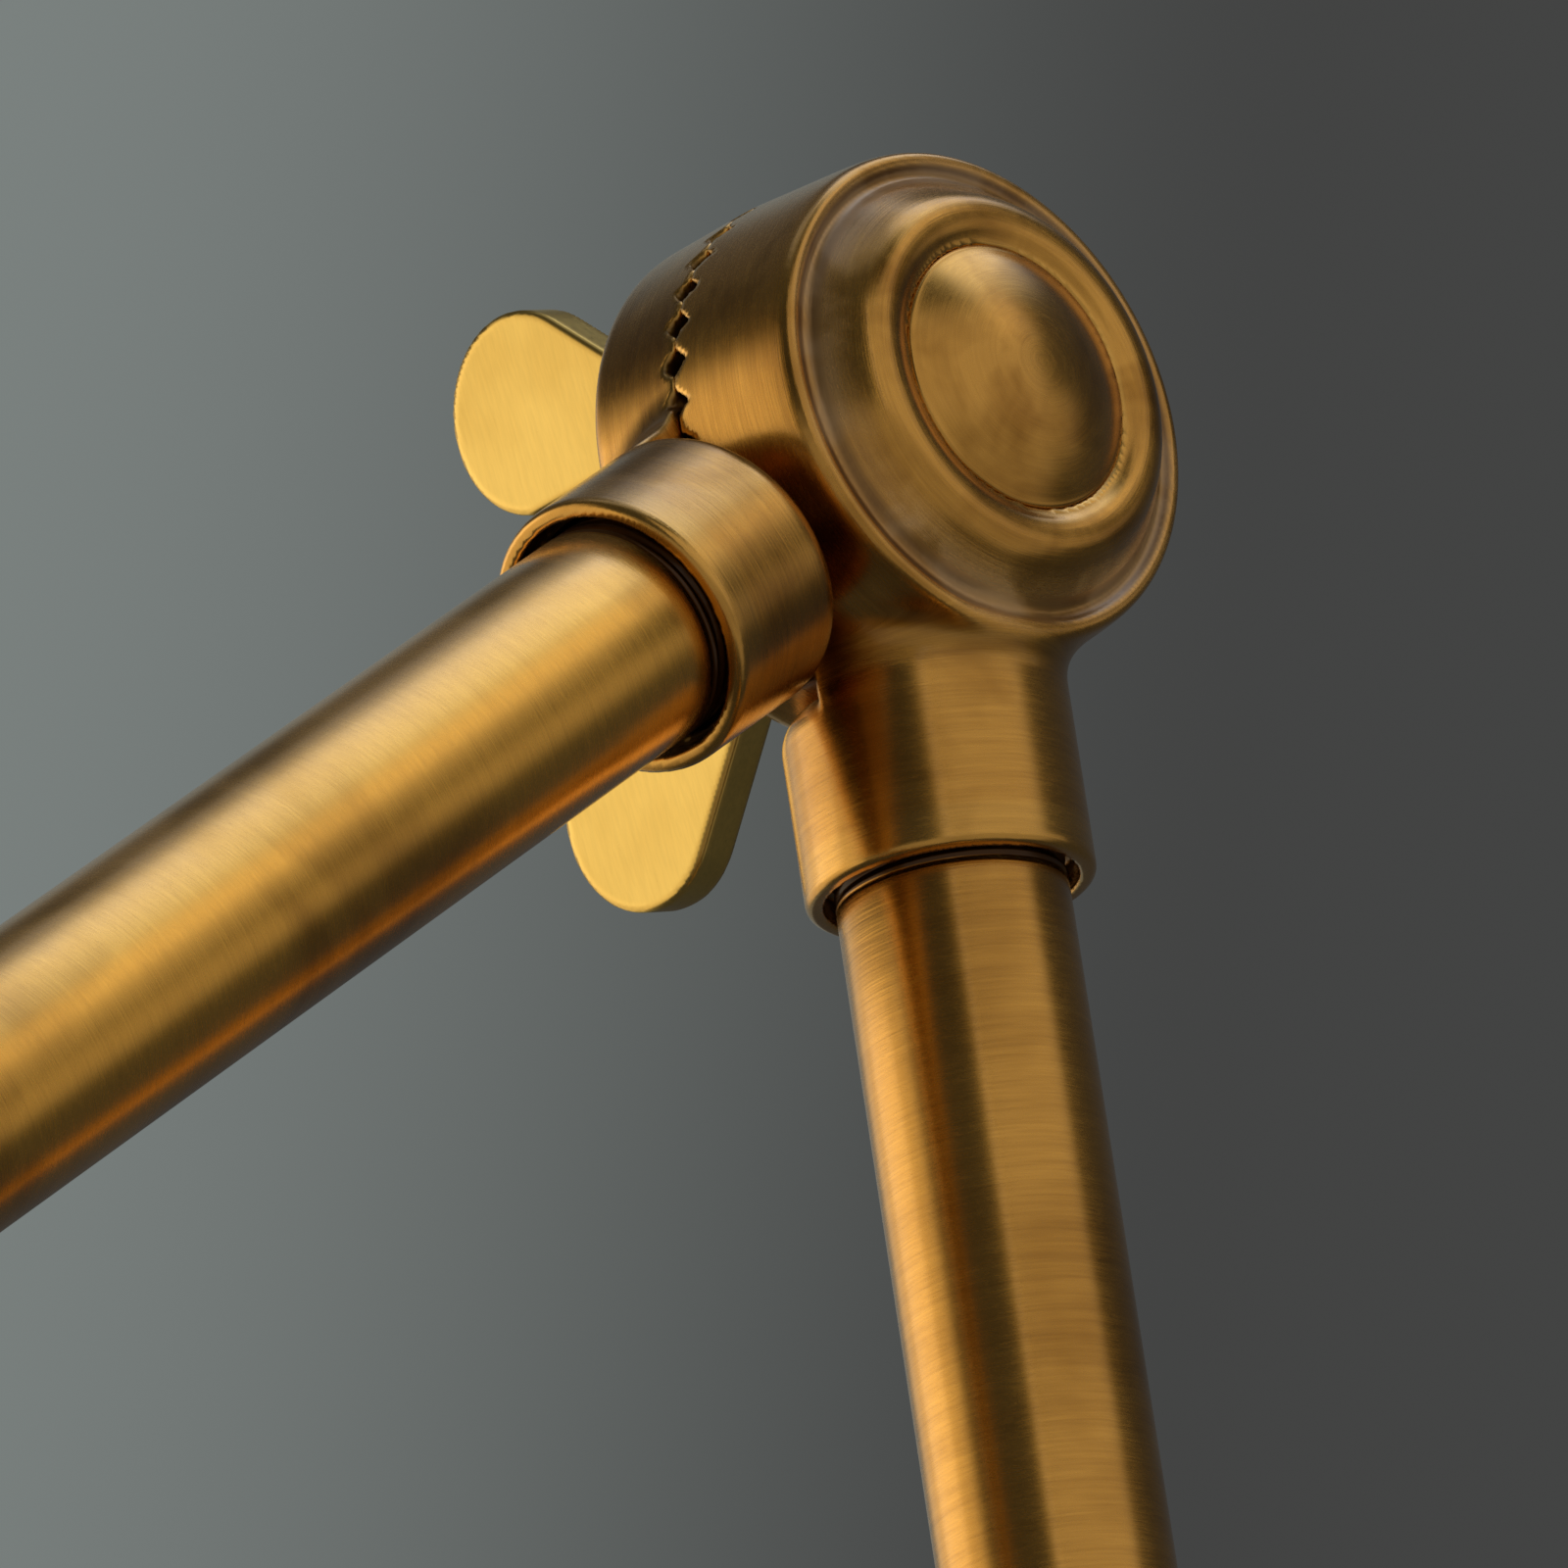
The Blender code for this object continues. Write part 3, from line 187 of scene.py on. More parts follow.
def arithmetic(operation, first, second=0.0, third=0.0, clamp=False):
    """The value of a math node."""
    inputs = {0: first, 1: second, 2: third}
    return new_node("Math", inputs, operation=operation, use_clamp=clamp), "Value"


def carried(source, low, high, start=0.0, end=1.0, easing="LINEAR"):
    """A value carried from one range to another, from start to low and from end to high."""
    inputs = {"Value": source, "From Min": start, "From Max": end, "To Min": low, "To Max": high}
    return new_node("MapRange", inputs, interpolation_type=easing), "Result"


def attribute(tree, name, output="Fac"):
    """A value stored at each point of a piece."""
    return new_node("Attribute", tree=tree, attribute_name=name), output


def new_material(name, colour, metallic, roughness, extra=()):
    """A named material with one Principled shader; returns the material, its tree and shader."""
    material = bpy.data.materials.new(name)
    material.use_nodes = True
    tree = material.node_tree
    shader = tree.nodes["Principled BSDF"]
    inputs = {"Base Color": colour, "Metallic": metallic, "Roughness": roughness, **dict(extra)}
    for socket, value in inputs.items():
        feed(value, shader.inputs[socket])
    return material, tree, shader


def bumped(shader, height, strength, distance):
    """Gives a shader a bump from a value output, its full height in metres."""
    inputs = {"Height": height, "Strength": strength, "Distance": distance}
    feed((new_node("Bump", inputs), "Normal"), shader.inputs["Normal"])


def shade(colour, share):
    """A colour made lighter or darker by a share."""
    return tuple(share * c for c in colour)


def mottled(name, colour, metallic, roughness, mottle=(), shades=(), grain=(), bump=(), gloss=0.0,
            extra=()):
    """A material whose colour runs between two shades with one noise, and whose bump follows
    another, as does its roughness by a share.  Each noise is its scale and amounts, and reads the
    piece's own space."""
    material, tree, shader = new_material(name, colour, metallic, roughness, extra)
    space = new_node("TexCoord", tree=tree), "Object"
    if mottle:
        feed(ramp(noise(space, *mottle), *shades), shader.inputs["Base Color"])
    if grain:
        height = noise(space, *grain)
        bumped(shader, height, *bump)
    if gloss:
        rough = carried(height, (1 - gloss) * roughness, (1 + gloss) * roughness)
        feed(rough, shader.inputs["Roughness"])
    return material


corners = np.array([(-1, -1, 0), (1, -1, 0), (1, 1, 0), (-1, 1, 0)]) * FLOOR_SIZE / 2
floor = surface("floor", corners - (0, 0, FLOOR_DROP), [(0, 1, 2, 3)])
floor.data.materials.append(mottled("floor_paint", FLOOR_COLOUR, 0, 0.85, (3.0, 3),
                                    ((0.3, shade(FLOOR_COLOUR, 0.97)), (0.7, FLOOR_COLOUR))))

world = bpy.data.worlds.new("room")
bpy.context.scene.world = world
world.use_nodes = True
heading = new_node("TexCoord", tree=world.node_tree), "Generated"
along = new_node("SeparateXYZ", {"Vector": heading})
azimuth = arithmetic("MULTIPLY", arithmetic("ARCTAN2", (along, "Y"), (along, "X")), 180 / math.pi)
elevation = arithmetic("MULTIPLY", arithmetic("ARCSINE", (along, "Z")), 180 / math.pi)


def eased_step(source, start, end):
    """A smooth step of a world value from 0 at one end to 1 at the other."""
    return carried(source, 0, 1, start, end, "SMOOTHSTEP")


def between(source, low, high, edge):
    """1 between two values of a world angle and 0 outside them, with eased edges."""
    return arithmetic("MULTIPLY", eased_step(source, low - edge, low + edge),
                      eased_step(source, high + edge, high - edge))


def on_screen(left, right_side, low, high, edge):
    """1 in the directions that a screen covers; one that runs past -180 degrees is made in two."""
    sides = between(azimuth, left, right_side, edge)
    if left < -180:
        beyond = between(azimuth, left + 360, 200, edge)
        sides = arithmetic("ADD", sides, beyond, clamp=True)
    return arithmetic("MULTIPLY", sides, between(elevation, low, high, edge))


across = {0: heading, 1: (right - BACKDROP_LEAN * above).normalized()}
side_slope = new_node("VectorMath", across, operation="DOT_PRODUCT"), "Value"
backdrop = arithmetic("MULTIPLY", eased_step(side_slope, *BACKDROP_SPAN), on_screen(*BACKDROP))
room = blended(backdrop, ROOM_DARK, BACKDROP_LIGHT)
for *angles, colour in SCREENS:
    room = blended(on_screen(*angles), room, colour)
feed(room, world.node_tree.nodes["Background"].inputs["Color"])


def soft_lamp(name, bearing, rise, distance, width, height, power, colour, aim=ELBOW):
    """A rectangular soft lamp aimed at a point, its bearing counted from +X towards +Y."""
    light = bpy.data.lights.new(name, "AREA")
    light.shape = "RECTANGLE"
    light.size, light.size_y = width, height
    light.energy = power
    light.color = colour
    lamp = bpy.data.objects.new(name, light)
    a, e = math.radians(bearing), math.radians(rise)
    away = Vector((math.cos(a) * math.cos(e), math.sin(a) * math.cos(e), math.sin(e)))
    lamp.location = aim + distance * away
    lamp.rotation_euler = away.to_track_quat("Z", "Y").to_euler()
    lamp.visible_camera = False
    bpy.context.scene.collection.objects.link(lamp)
    return lamp


soft_lamp("side_lamp", -150, 10, 2.6, 1.6, 1.2, 4, (1.0, 0.93, 0.82))
soft_lamp("top_lamp", 60, 68, 2.8, 1.6, 1.6, 3, (0.92, 0.97, 1.0))
floor_lamp = soft_lamp("floor_lamp", 0, 90, 3.0, 3.0, 3.0, 90, (1.0, 1.0, 0.98), Vector((0, 0, 0)))
lit_by_floor_lamp = bpy.data.collections.new("lit_by_floor_lamp")
lit_by_floor_lamp.objects.link(floor)
floor_lamp.light_linking.receiver_collection = lit_by_floor_lamp
floor.visible_glossy = False
bpy.context.scene.view_settings.view_transform = "Standard"


# ---- Knuckles --------------------------------------------
# Each knuckle is two cast brass drum halves, turned, toothed and brushed, with a collar for the arm
# tube on each.  Distances below are in millimetres, and (x, s, t) run along the hinge, along the
# half's own stem, and square to both.

DRUM_RADIUS = 18.8
TOOTH_COUNT = 38
TOOTH_LENGTH = 6.8
TOOTH_DEPTH = 1.15
NOTCH_SHARE = 0.34                    # half of a notch's width, as a share of the pitch
TOOTH_GAP = 0.05                      # of a crest from the middle plane
TOOTH_PITCH = 2 * math.pi / TOOTH_COUNT
POCKET_DEPTH = 5.0
BOLT_BORE = 3.3
REAR_DEPTH = 9.2
RIM_RADIUS = 17.6
CAP_SEAT_RADIUS = 9.6
CAP_SEAT_LEVEL = 9.6
COLLAR_RADIUS = 10.0
COLLAR_ROOT = 21.5
COLLAR_END = 32.6
SOCKET_FLOOR = 24.1
SOCKET_RADIUS = 8.25
MOUTH_RADIUS = 8.75
MOUTH_FLOOR = 30.4
NECK_START = 12.8
NECK_FILLET = 2.0
CELL = 0.32                           # of the grid that a cast half is worked out on
CLEAN_RADIUS = 11.5                   # inside it, and above this level, polishing reaches the hollows
CLEAN_LEVEL = 12.0
COVE_RADIUS = 15.7                    # of the cove round the face, where a dirt film and a painted sheen stay
COVE_LEVEL = 9.0
COVE_FILM_AND_SHEEN = 0.6
GAP_REACH = 1.4                       # of the painted shade in the gap between the halves, from its middle
GAP_DEPTH = 0.6                       # under the drum's wall, where it starts
DOWN = -math.pi / 2
UP = math.pi / 2
STEMS = {"base": (DOWN, UP)}


def rounded(corners, steps=6):
    """Closed outline from (radius, height, rounding) corners: each corner becomes an arc-like
    quadratic curve that starts and ends its rounding away along the two edges."""
    points = np.array([c[:2] for c in corners], float)
    reach = np.array([c[2] for c in corners], float)
    before = np.roll(points, 1, 0) - points
    after = np.roll(points, -1, 0) - points
    lengths = (np.linalg.norm(before, axis=1), np.linalg.norm(after, axis=1))
    start = points + before / lengths[0][:, None] * np.minimum(reach, 0.49 * lengths[0])[:, None]
    end = points + after / lengths[1][:, None] * np.minimum(reach, 0.49 * lengths[1])[:, None]
    u = np.linspace(0, 1, steps)[None, :, None]
    curve = (1 - u) ** 2 * start[:, None] + 2 * u * (1 - u) * points[:, None] + u ** 2 * end[:, None]
    return curve.reshape(-1, 2)


def outline_distance(outline, step=0.06, margin=4.0):
    """Signed distance to a closed outline, sampled on a grid, as a function of (radius, height):
    the least distance to any edge, negative where a ray crosses the outline an odd number of times."""
    low = outline.min(0) - margin
    size = np.ceil((outline.max(0) + margin - low) / step).astype(int) + 1
    r = (low[0] + step * np.arange(size[0]))[:, None]
    h = (low[1] + step * np.arange(size[1]))[None, :]
    nearest = np.full((size[0], size[1]), 1e9)
    inside = np.zeros((size[0], size[1]), bool)
    for (r0, h0), (r1, h1) in zip(outline, np.roll(outline, -1, 0)):
        along_r, along_h = r1 - r0, h1 - h0
        length = along_r ** 2 + along_h ** 2
        if length < 1e-12:
            continue
        u = np.clip(((r - r0) * along_r + (h - h0) * along_h) / length, 0, 1)
        nearest = np.minimum(nearest, (r - r0 - u * along_r) ** 2 + (h - h0 - u * along_h) ** 2)
        if h0 != h1:
            inside ^= ((h0 > h) != (h1 > h)) & (r < r0 + (h - h0) / along_h * along_r)
    table = np.where(inside, -np.sqrt(nearest), np.sqrt(nearest))

    def distance(radius, height):
        i = np.clip((radius - low[0]) / step, 0, size[0] - 1.001)
        j = np.clip((height - low[1]) / step, 0, size[1] - 1.001)
        i0, j0 = i.astype(np.int32), j.astype(np.int32)
        u, v = i - i0, j - j0
        return ((1 - u) * ((1 - v) * table[i0, j0] + v * table[i0, j0 + 1])
                + u * ((1 - v) * table[i0 + 1, j0] + v * table[i0 + 1, j0 + 1]))
    return distance


def joined(a, b, fillet):
    """Smooth union of two distances: their least, less a quadratic where they are closer than the
    fillet, which is how a casting's inside corner fills."""
    h = np.maximum(fillet - np.abs(a - b), 0) / fillet
    return np.minimum(a, b) - h * h * fillet / 4


def cut(a, b, ease=0.2):
    """Smooth difference: the first distance without the second's inside, its edge eased."""
    return -joined(-a, b, ease)


def tooth_depth(s, t):
    """Depth of the radial V notches: it falls evenly with the angle from each notch's middle to
    nothing at its edges, and grows with the radius; flat crests are left between notches."""
    r = np.hypot(s, t)
    turn = (np.arctan2(t, s) / TOOTH_PITCH - 1 / 3) % 1.0
    wave = np.maximum(1 - np.minimum(turn, 1 - turn) / NOTCH_SHARE, 0)
    return np.where(r > DRUM_RADIUS - TOOTH_LENGTH - 0.5, TOOTH_DEPTH * wave * r / DRUM_RADIUS, 0)


def meshed(field, low, high, cell):
    """Surface where a distance field is zero.  One point per grid cell that the surface crosses, at
    the mean of its edge crossings, then moved onto the surface along the field's slope; one face
    for each grid edge that changes sign, facing out of the solid.  Returns points and faces."""
    counts = [int(math.ceil((b - a) / cell)) + 1 for a, b in zip(low, high)]
    lines = [a + cell * np.arange(n) for a, n in zip(low, counts)]
    x, y, z = np.meshgrid(*lines, indexing="ij", sparse=True)
    value = field(x, y, z).astype(np.float32)
    inside = value < 0
    offsets = [(i, j, k) for i in (0, 1) for j in (0, 1) for k in (0, 1)]
    half = (slice(0, -1), slice(1, None))
    total = sum(inside[half[i], half[j], half[k]].astype(np.uint8) for i, j, k in offsets)
    cells = np.argwhere((total > 0) & (total < 8))
    number = np.full(total.shape, -1, np.int32)
    number[tuple(cells.T)] = np.arange(len(cells))
    sums = np.zeros((len(cells), 3))
    hits = np.zeros(len(cells))
    for a, axis in ((a, axis) for a in offsets for axis in range(3) if not a[axis]):
        b = np.array(a)
        b[axis] = 1
        va = value[tuple((cells + a).T)]
        vb = value[tuple((cells + b).T)]
        crossed = (va < 0) != (vb < 0)
        point = np.tile(np.array(a, float), (len(cells), 1))
        point[:, axis] += np.where(crossed, va / np.where(crossed, va - vb, 1), 0)
        sums += point * crossed[:, None]
        hits += crossed
    points = (cells + sums / hits[:, None]) * cell + np.array(low)
    for _ in range(3):
        slope = field_slope(field, points)
        steepness = np.maximum((slope ** 2).sum(1), 0.05)
        move = slope * (field(*points.T) / steepness)[:, None]
        reach = np.linalg.norm(move, axis=1)
        points = points - move * np.minimum(1, 0.5 * cell / np.maximum(reach, 1e-9))[:, None]
    faces = []
    for axis in range(3):
        u, v = [a for a in range(3) if a != axis]
        first = tuple(half[0] if a == axis else slice(None) for a in range(3))
        second = tuple(half[1] if a == axis else slice(None) for a in range(3))
        edges = np.argwhere(inside[first] != inside[second])
        within = (edges > 0) & (edges < np.array(counts) - 1)
        edges = edges[within[:, u] & within[:, v]]
        around = []
        for du, dv in ((0, 0), (1, 0), (1, 1), (0, 1)):
            at = edges.copy()
            at[:, u] -= du
            at[:, v] -= dv
            around.append(number[tuple(at.T)])
        quad = np.stack(around, 1)
        flip = inside[first][tuple(edges.T)] ^ (axis == 1)
        faces.append(np.where(flip[:, None], quad, quad[:, ::-1]))
    faces = np.concatenate(faces)
    return points, faces[(faces >= 0).all(1)]


def field_slope(field, points, step=0.04):
    """Slope of a distance field by central differences."""
    slope = np.empty_like(points)
    for axis in range(3):
        shift = np.zeros(3)
        shift[axis] = step
        slope[:, axis] = (field(*(points + shift).T) - field(*(points - shift).T)) / (2 * step)
    return slope


def store(piece, name, kind, values):
    """Stores a value or a vector at each point of a piece."""
    layer = piece.data.attributes.new(name, kind, "POINT")
    layer.data.foreach_set("vector" if kind == "FLOAT_VECTOR" else "value",
                           np.asarray(values, np.float32).ravel())


def give_values(piece, grain, hollow, edge):
    """Stores the brushing direction and the two wear values at each point of a piece."""
    store(piece, "grain", "FLOAT_VECTOR", grain)
    store(piece, "hollow", "FLOAT", hollow)
    store(piece, "edge", "FLOAT", edge)


def dust_and_painted_highlight(piece, band=0.0):
    """Stores at each point how much dulling film a piece carries, part dust and part painted
    highlight: it grows as the surface turns upwards towards the light above, and a band of dirt
    film with a painted sheen may be added where polishing does not reach."""
    normals = np.empty(3 * len(piece.data.vertices))
    piece.data.vertex_normals.foreach_get("vector", normals)
    # Upward faces get the whitish film: dust, and a painted highlight where the light from above falls.
    film = np.clip((normals[2::3] - 0.3) / 0.6, 0, 1) * DUST_AND_HIGHLIGHT_ON_TOP
    store(piece, "film", "FLOAT", np.clip(film + band, 0, 1))


def wear_values(field, points, depth=1.6):
    """How far a point lies in a hollow, and how sharply an edge stands proud: the field a short way
    out of the surface and a short way into it, against that distance."""
    slope = field_slope(field, points)
    normal = slope / np.maximum(np.linalg.norm(slope, axis=1), 1e-6)[:, None]
    hollow = 1 - field(*(points + depth * normal).T) / depth
    edge = 1 + field(*(points - 0.5 * depth * normal).T) / (0.5 * depth)
    return np.clip(hollow, 0, 1), np.clip(edge, 0, 1)


def to_lamp(points, place, angle):
    """Points in (x, s, t) millimetres put where they belong on the lamp: x runs along the hinge, s
    along a stem that lies at an angle in the YZ plane, and t square to both."""
    c, s = math.cos(angle), math.sin(angle)
    turn = np.array([(1, 0, 0), (0, c, -s), (0, s, c)]) * MM
    return points @ turn.T + np.array(place)


def collar_blank(root, root_length, root_fall):
    """Distance to a collar with its root rounded as a quarter ellipse of a length and a fall, and
    its mouth bored out round the tube."""
    turn = np.radians(np.linspace(0, 90, 14))
    shoulder = np.stack([COLLAR_RADIUS - root_fall * (1 - np.sin(turn)),
                         root + root_length * (1 - np.cos(turn))], 1)
    rest = rounded([(COLLAR_RADIUS, COLLAR_END - 3, 0), (COLLAR_RADIUS, COLLAR_END, 0.7),
                    (MOUTH_RADIUS, COLLAR_END, 0.2), (MOUTH_RADIUS, MOUTH_FLOOR, 0.1),
                    (SOCKET_RADIUS, MOUTH_FLOOR, 0.1), (SOCKET_RADIUS, SOCKET_FLOOR, 0.2),
                    (-3, SOCKET_FLOOR, 0), (-3, root, 0)])
    return outline_distance(np.concatenate([shoulder, rest]))


collar_distances = {1: collar_blank(19.1, 2.2, 1.8), -1: collar_blank(20.3, 1.8, 1.5)}
pocket_radius = DRUM_RADIUS - TOOTH_LENGTH
front_outline = rounded([(-3, CAP_SEAT_LEVEL, 0), (CAP_SEAT_RADIUS, CAP_SEAT_LEVEL, 0.1),
                         (CAP_SEAT_RADIUS, 13.92, 0.03), (9.95, 13.84, 0.5), (11.0, 14.5, 0.9),
                         (12.9, 14.4, 1.3), (15.1, 11.5, 1.3), (15.7, 10.5, 0.7), (16.3, 10.4, 0.5),
                         (16.9, 10.9, 0.5), (17.8, 10.65, 0.9), (RIM_RADIUS + 0.45, 8.9, 1.2),
                         (DRUM_RADIUS, 0, 0.05), (DRUM_RADIUS, -1.5, 0), (-3, -1.5, 0)], 6)
rear_outline = rounded([(-3, 1.5, 0), (DRUM_RADIUS, 1.5, 0), (DRUM_RADIUS, -8.3, 0.7),
                        (DRUM_RADIUS - 0.9, -REAR_DEPTH, 0.5), (-3, -REAR_DEPTH, 0)], 6)
drum_distances = {1: outline_distance(front_outline), -1: outline_distance(rear_outline)}


def half_field(side):
    """Distance field of one cast half; side is 1 for the front and -1 for the rear.  Drum and neck
    meet in a fillet, the collar's full round stands over the facing half, and the socket, the bolt
    bore and the spring's pocket are cut out."""
    drum_distance = drum_distances[side]
    collar_distance = collar_distances[side]

    def field(x, s, t):
        r = np.hypot(s, t)
        rho = np.hypot(x, t)
        own = side * x
        drum = drum_distance(r, x)
        face = TOOTH_GAP + tooth_depth(s, t)
        drum = cut(drum, own - face + 0 * r, 0.08)
        neck = np.maximum(rho - COLLAR_RADIUS, np.maximum(NECK_START - s, s - COLLAR_ROOT - 6))
        neck = cut(neck, own - TOOTH_GAP - 0.1 + 0 * s, 0.4)
        collar = collar_distance(rho, s)
        solid = joined(drum, neck, NECK_FILLET)
        solid = cut(solid, own - TOOTH_GAP + 0 * r, 0.05)
        solid = np.minimum(solid, collar)
        socket = np.maximum(rho - SOCKET_RADIUS, np.maximum(SOCKET_FLOOR - s, s - COLLAR_END - 2))
        mouth = np.maximum(rho - MOUTH_RADIUS, np.maximum(MOUTH_FLOOR - s, s - COLLAR_END - 2))
        solid = cut(solid, np.minimum(socket, mouth), 0.15)
        pocket = np.maximum(r - pocket_radius, own - POCKET_DEPTH)
        solid = cut(solid, np.minimum(pocket, r - BOLT_BORE + 0 * x), 0.15)
        return solid
    return field


def half_grain(points):
    """Brushing coordinates of a cast half: its first runs across the strokes, the other two round
    them.  Strokes go round the hinge on the drum and round the stem on neck and collar."""
    x, s, t = points.T
    r = np.hypot(s, t) + 1e-6
    rho = np.hypot(x, t) + 1e-6
    drum = np.stack([x - r, DRUM_RADIUS * s / r, DRUM_RADIUS * t / r], 1)
    stem = np.stack([s, COLLAR_RADIUS * x / rho, COLLAR_RADIUS * t / rho], 1)
    share = np.clip((s - 16) / 3.5, 0, 1)[:, None]
    share = share * share * (3 - 2 * share)
    return drum * (1 - share) + stem * share


# Old brass as it is kept: brushed with a fine wheel, darkened brown in the hollows and worn light
# along the edges, under a thin satin lacquer, with a dull film where no cloth reaches.  The same
# dark brown is also painted shade in the gaps between parts, and the film is also a painted
# highlight and sheen, lighter on upward faces and in the face's cove.
BRASS_BRIGHT = (0.86, 0.55, 0.14)
BRASS_WORN = (0.66, 0.350, 0.066)
BRASS_BROWN = (0.42, 0.200, 0.026)
BRASS_DARK = (0.09, 0.035, 0.005)
FINE_STROKES = (5.5, 0.16, 0.16)      # how often a pattern repeats across and along the brushing
BROAD_STROKES = (1.1, 0.07, 0.07)
SCRATCHES = (2.4, 0.5, 0.5)
FINE_SHADES = ((0.25, (0.80, 0.76, 0.70)), (0.75, (1.12, 1.12, 1.12)))
BROAD_SHADES = ((0.3, (0.84, 0.80, 0.74)), (0.7, (1.08, 1.08, 1.06)))
FINE_STRENGTH = 0.75
BROAD_STRENGTH = 0.6
STROKE_RELIEF = 0.00004
# Patina in the hollows, and painted shade in the gaps between parts, darken the brass by this share.
HOLLOW_DIRT_AND_SHADE = 1.5
HOLLOW_DULLING = 0.3
EDGE_WEAR = 0.35
# The film: dust and dirt, and also a painted highlight and sheen, whitish and less metallic.
FILM_AND_SHEEN_COLOUR = (0.44, 0.31, 0.19)
FILM_AND_SHEEN_SHADES = ((0.44, (0.35,) * 3), (0.53, (1.0,) * 3))
FILM_AND_SHEEN_COVER = 0.7
FILM_AND_SHEEN_DULLING = 0.6
DUST_AND_HIGHLIGHT_ON_TOP = 0.75
LACQUER = {"Coat Weight": 0.5, "Coat Roughness": 0.16}


def brushing(tree, offset, second):
    """The stored brushing direction, moved so that no two pieces share a pattern."""
    moved = {0: attribute(tree, "grain", "Vector"), 1: (offset, second, 0)}
    return new_node("VectorMath", moved, operation="ADD"), "Vector"


def antique_brass(name, offset=0.0, streaks=1.0, patch_scale=0.09, worn=BRASS_WORN):
    """Brushed antique brass.  Fine strokes are noise drawn out along the brushing, patches of brown
    follow a slow noise, dark patina and painted shade follow the hollow value, the edge value lays
    bare the bright metal, and the dust-and-sheen value, dust with a painted highlight and sheen,
    dulls it and makes it whitish."""
    material, tree, shader = new_material(name, worn, 1.0, 0.3, LACQUER)
    along_strokes = brushing(tree, offset, 0.37 * offset)
    fine = drawn_noise(along_strokes, FINE_STROKES, 3, 0.6)
    broad = drawn_noise(along_strokes, BROAD_STROKES, 2)
    patches = drawn_noise(along_strokes, (patch_scale,) * 3, 3, 0.55, 0.4)
    scratches = drawn_noise(along_strokes, SCRATCHES, 5, 0.75, 1.5)
    hollow, edge, film = (attribute(tree, value) for value in ("hollow", "edge", "film"))
    colour = ramp(patches, (0.30, BRASS_BROWN), (0.52, worn))
    colour = blended(FINE_STRENGTH * streaks, colour, ramp(fine, *FINE_SHADES), "MULTIPLY")
    colour = blended(BROAD_STRENGTH * streaks, colour, ramp(broad, *BROAD_SHADES), "MULTIPLY")
    # Patina in the hollows, and painted shade in the gaps between parts, darken the brass.
    dirt_and_shade = arithmetic("MULTIPLY", hollow, HOLLOW_DIRT_AND_SHADE, clamp=True)
    colour = blended(dirt_and_shade, colour, BRASS_DARK)
    shine = arithmetic("MULTIPLY", edge, EDGE_WEAR, clamp=True)
    colour = blended(shine, colour, BRASS_BRIGHT)
    # Whitish film: dust, with a painted highlight on upward faces and a painted sheen in the cove.
    dust_and_sheen_amount = arithmetic("MULTIPLY", film, ramp(patches, *FILM_AND_SHEEN_SHADES))
    colour = blended(arithmetic("MULTIPLY", dust_and_sheen_amount, FILM_AND_SHEEN_COVER), colour, FILM_AND_SHEEN_COLOUR)
    feed(colour, shader.inputs["Base Color"])
    feed(arithmetic("MULTIPLY_ADD", dust_and_sheen_amount, -FILM_AND_SHEEN_DULLING, 1.0), shader.inputs["Metallic"])
    rough = carried(scratches, 0.21, 0.31, 0.3, 0.7)
    dull = arithmetic("MULTIPLY_ADD", hollow, HOLLOW_DULLING, rough)
    feed(dull, shader.inputs["Roughness"])
    bumped(shader, arithmetic("ADD", fine, broad), 0.35 * streaks, STROKE_RELIEF)
    return material


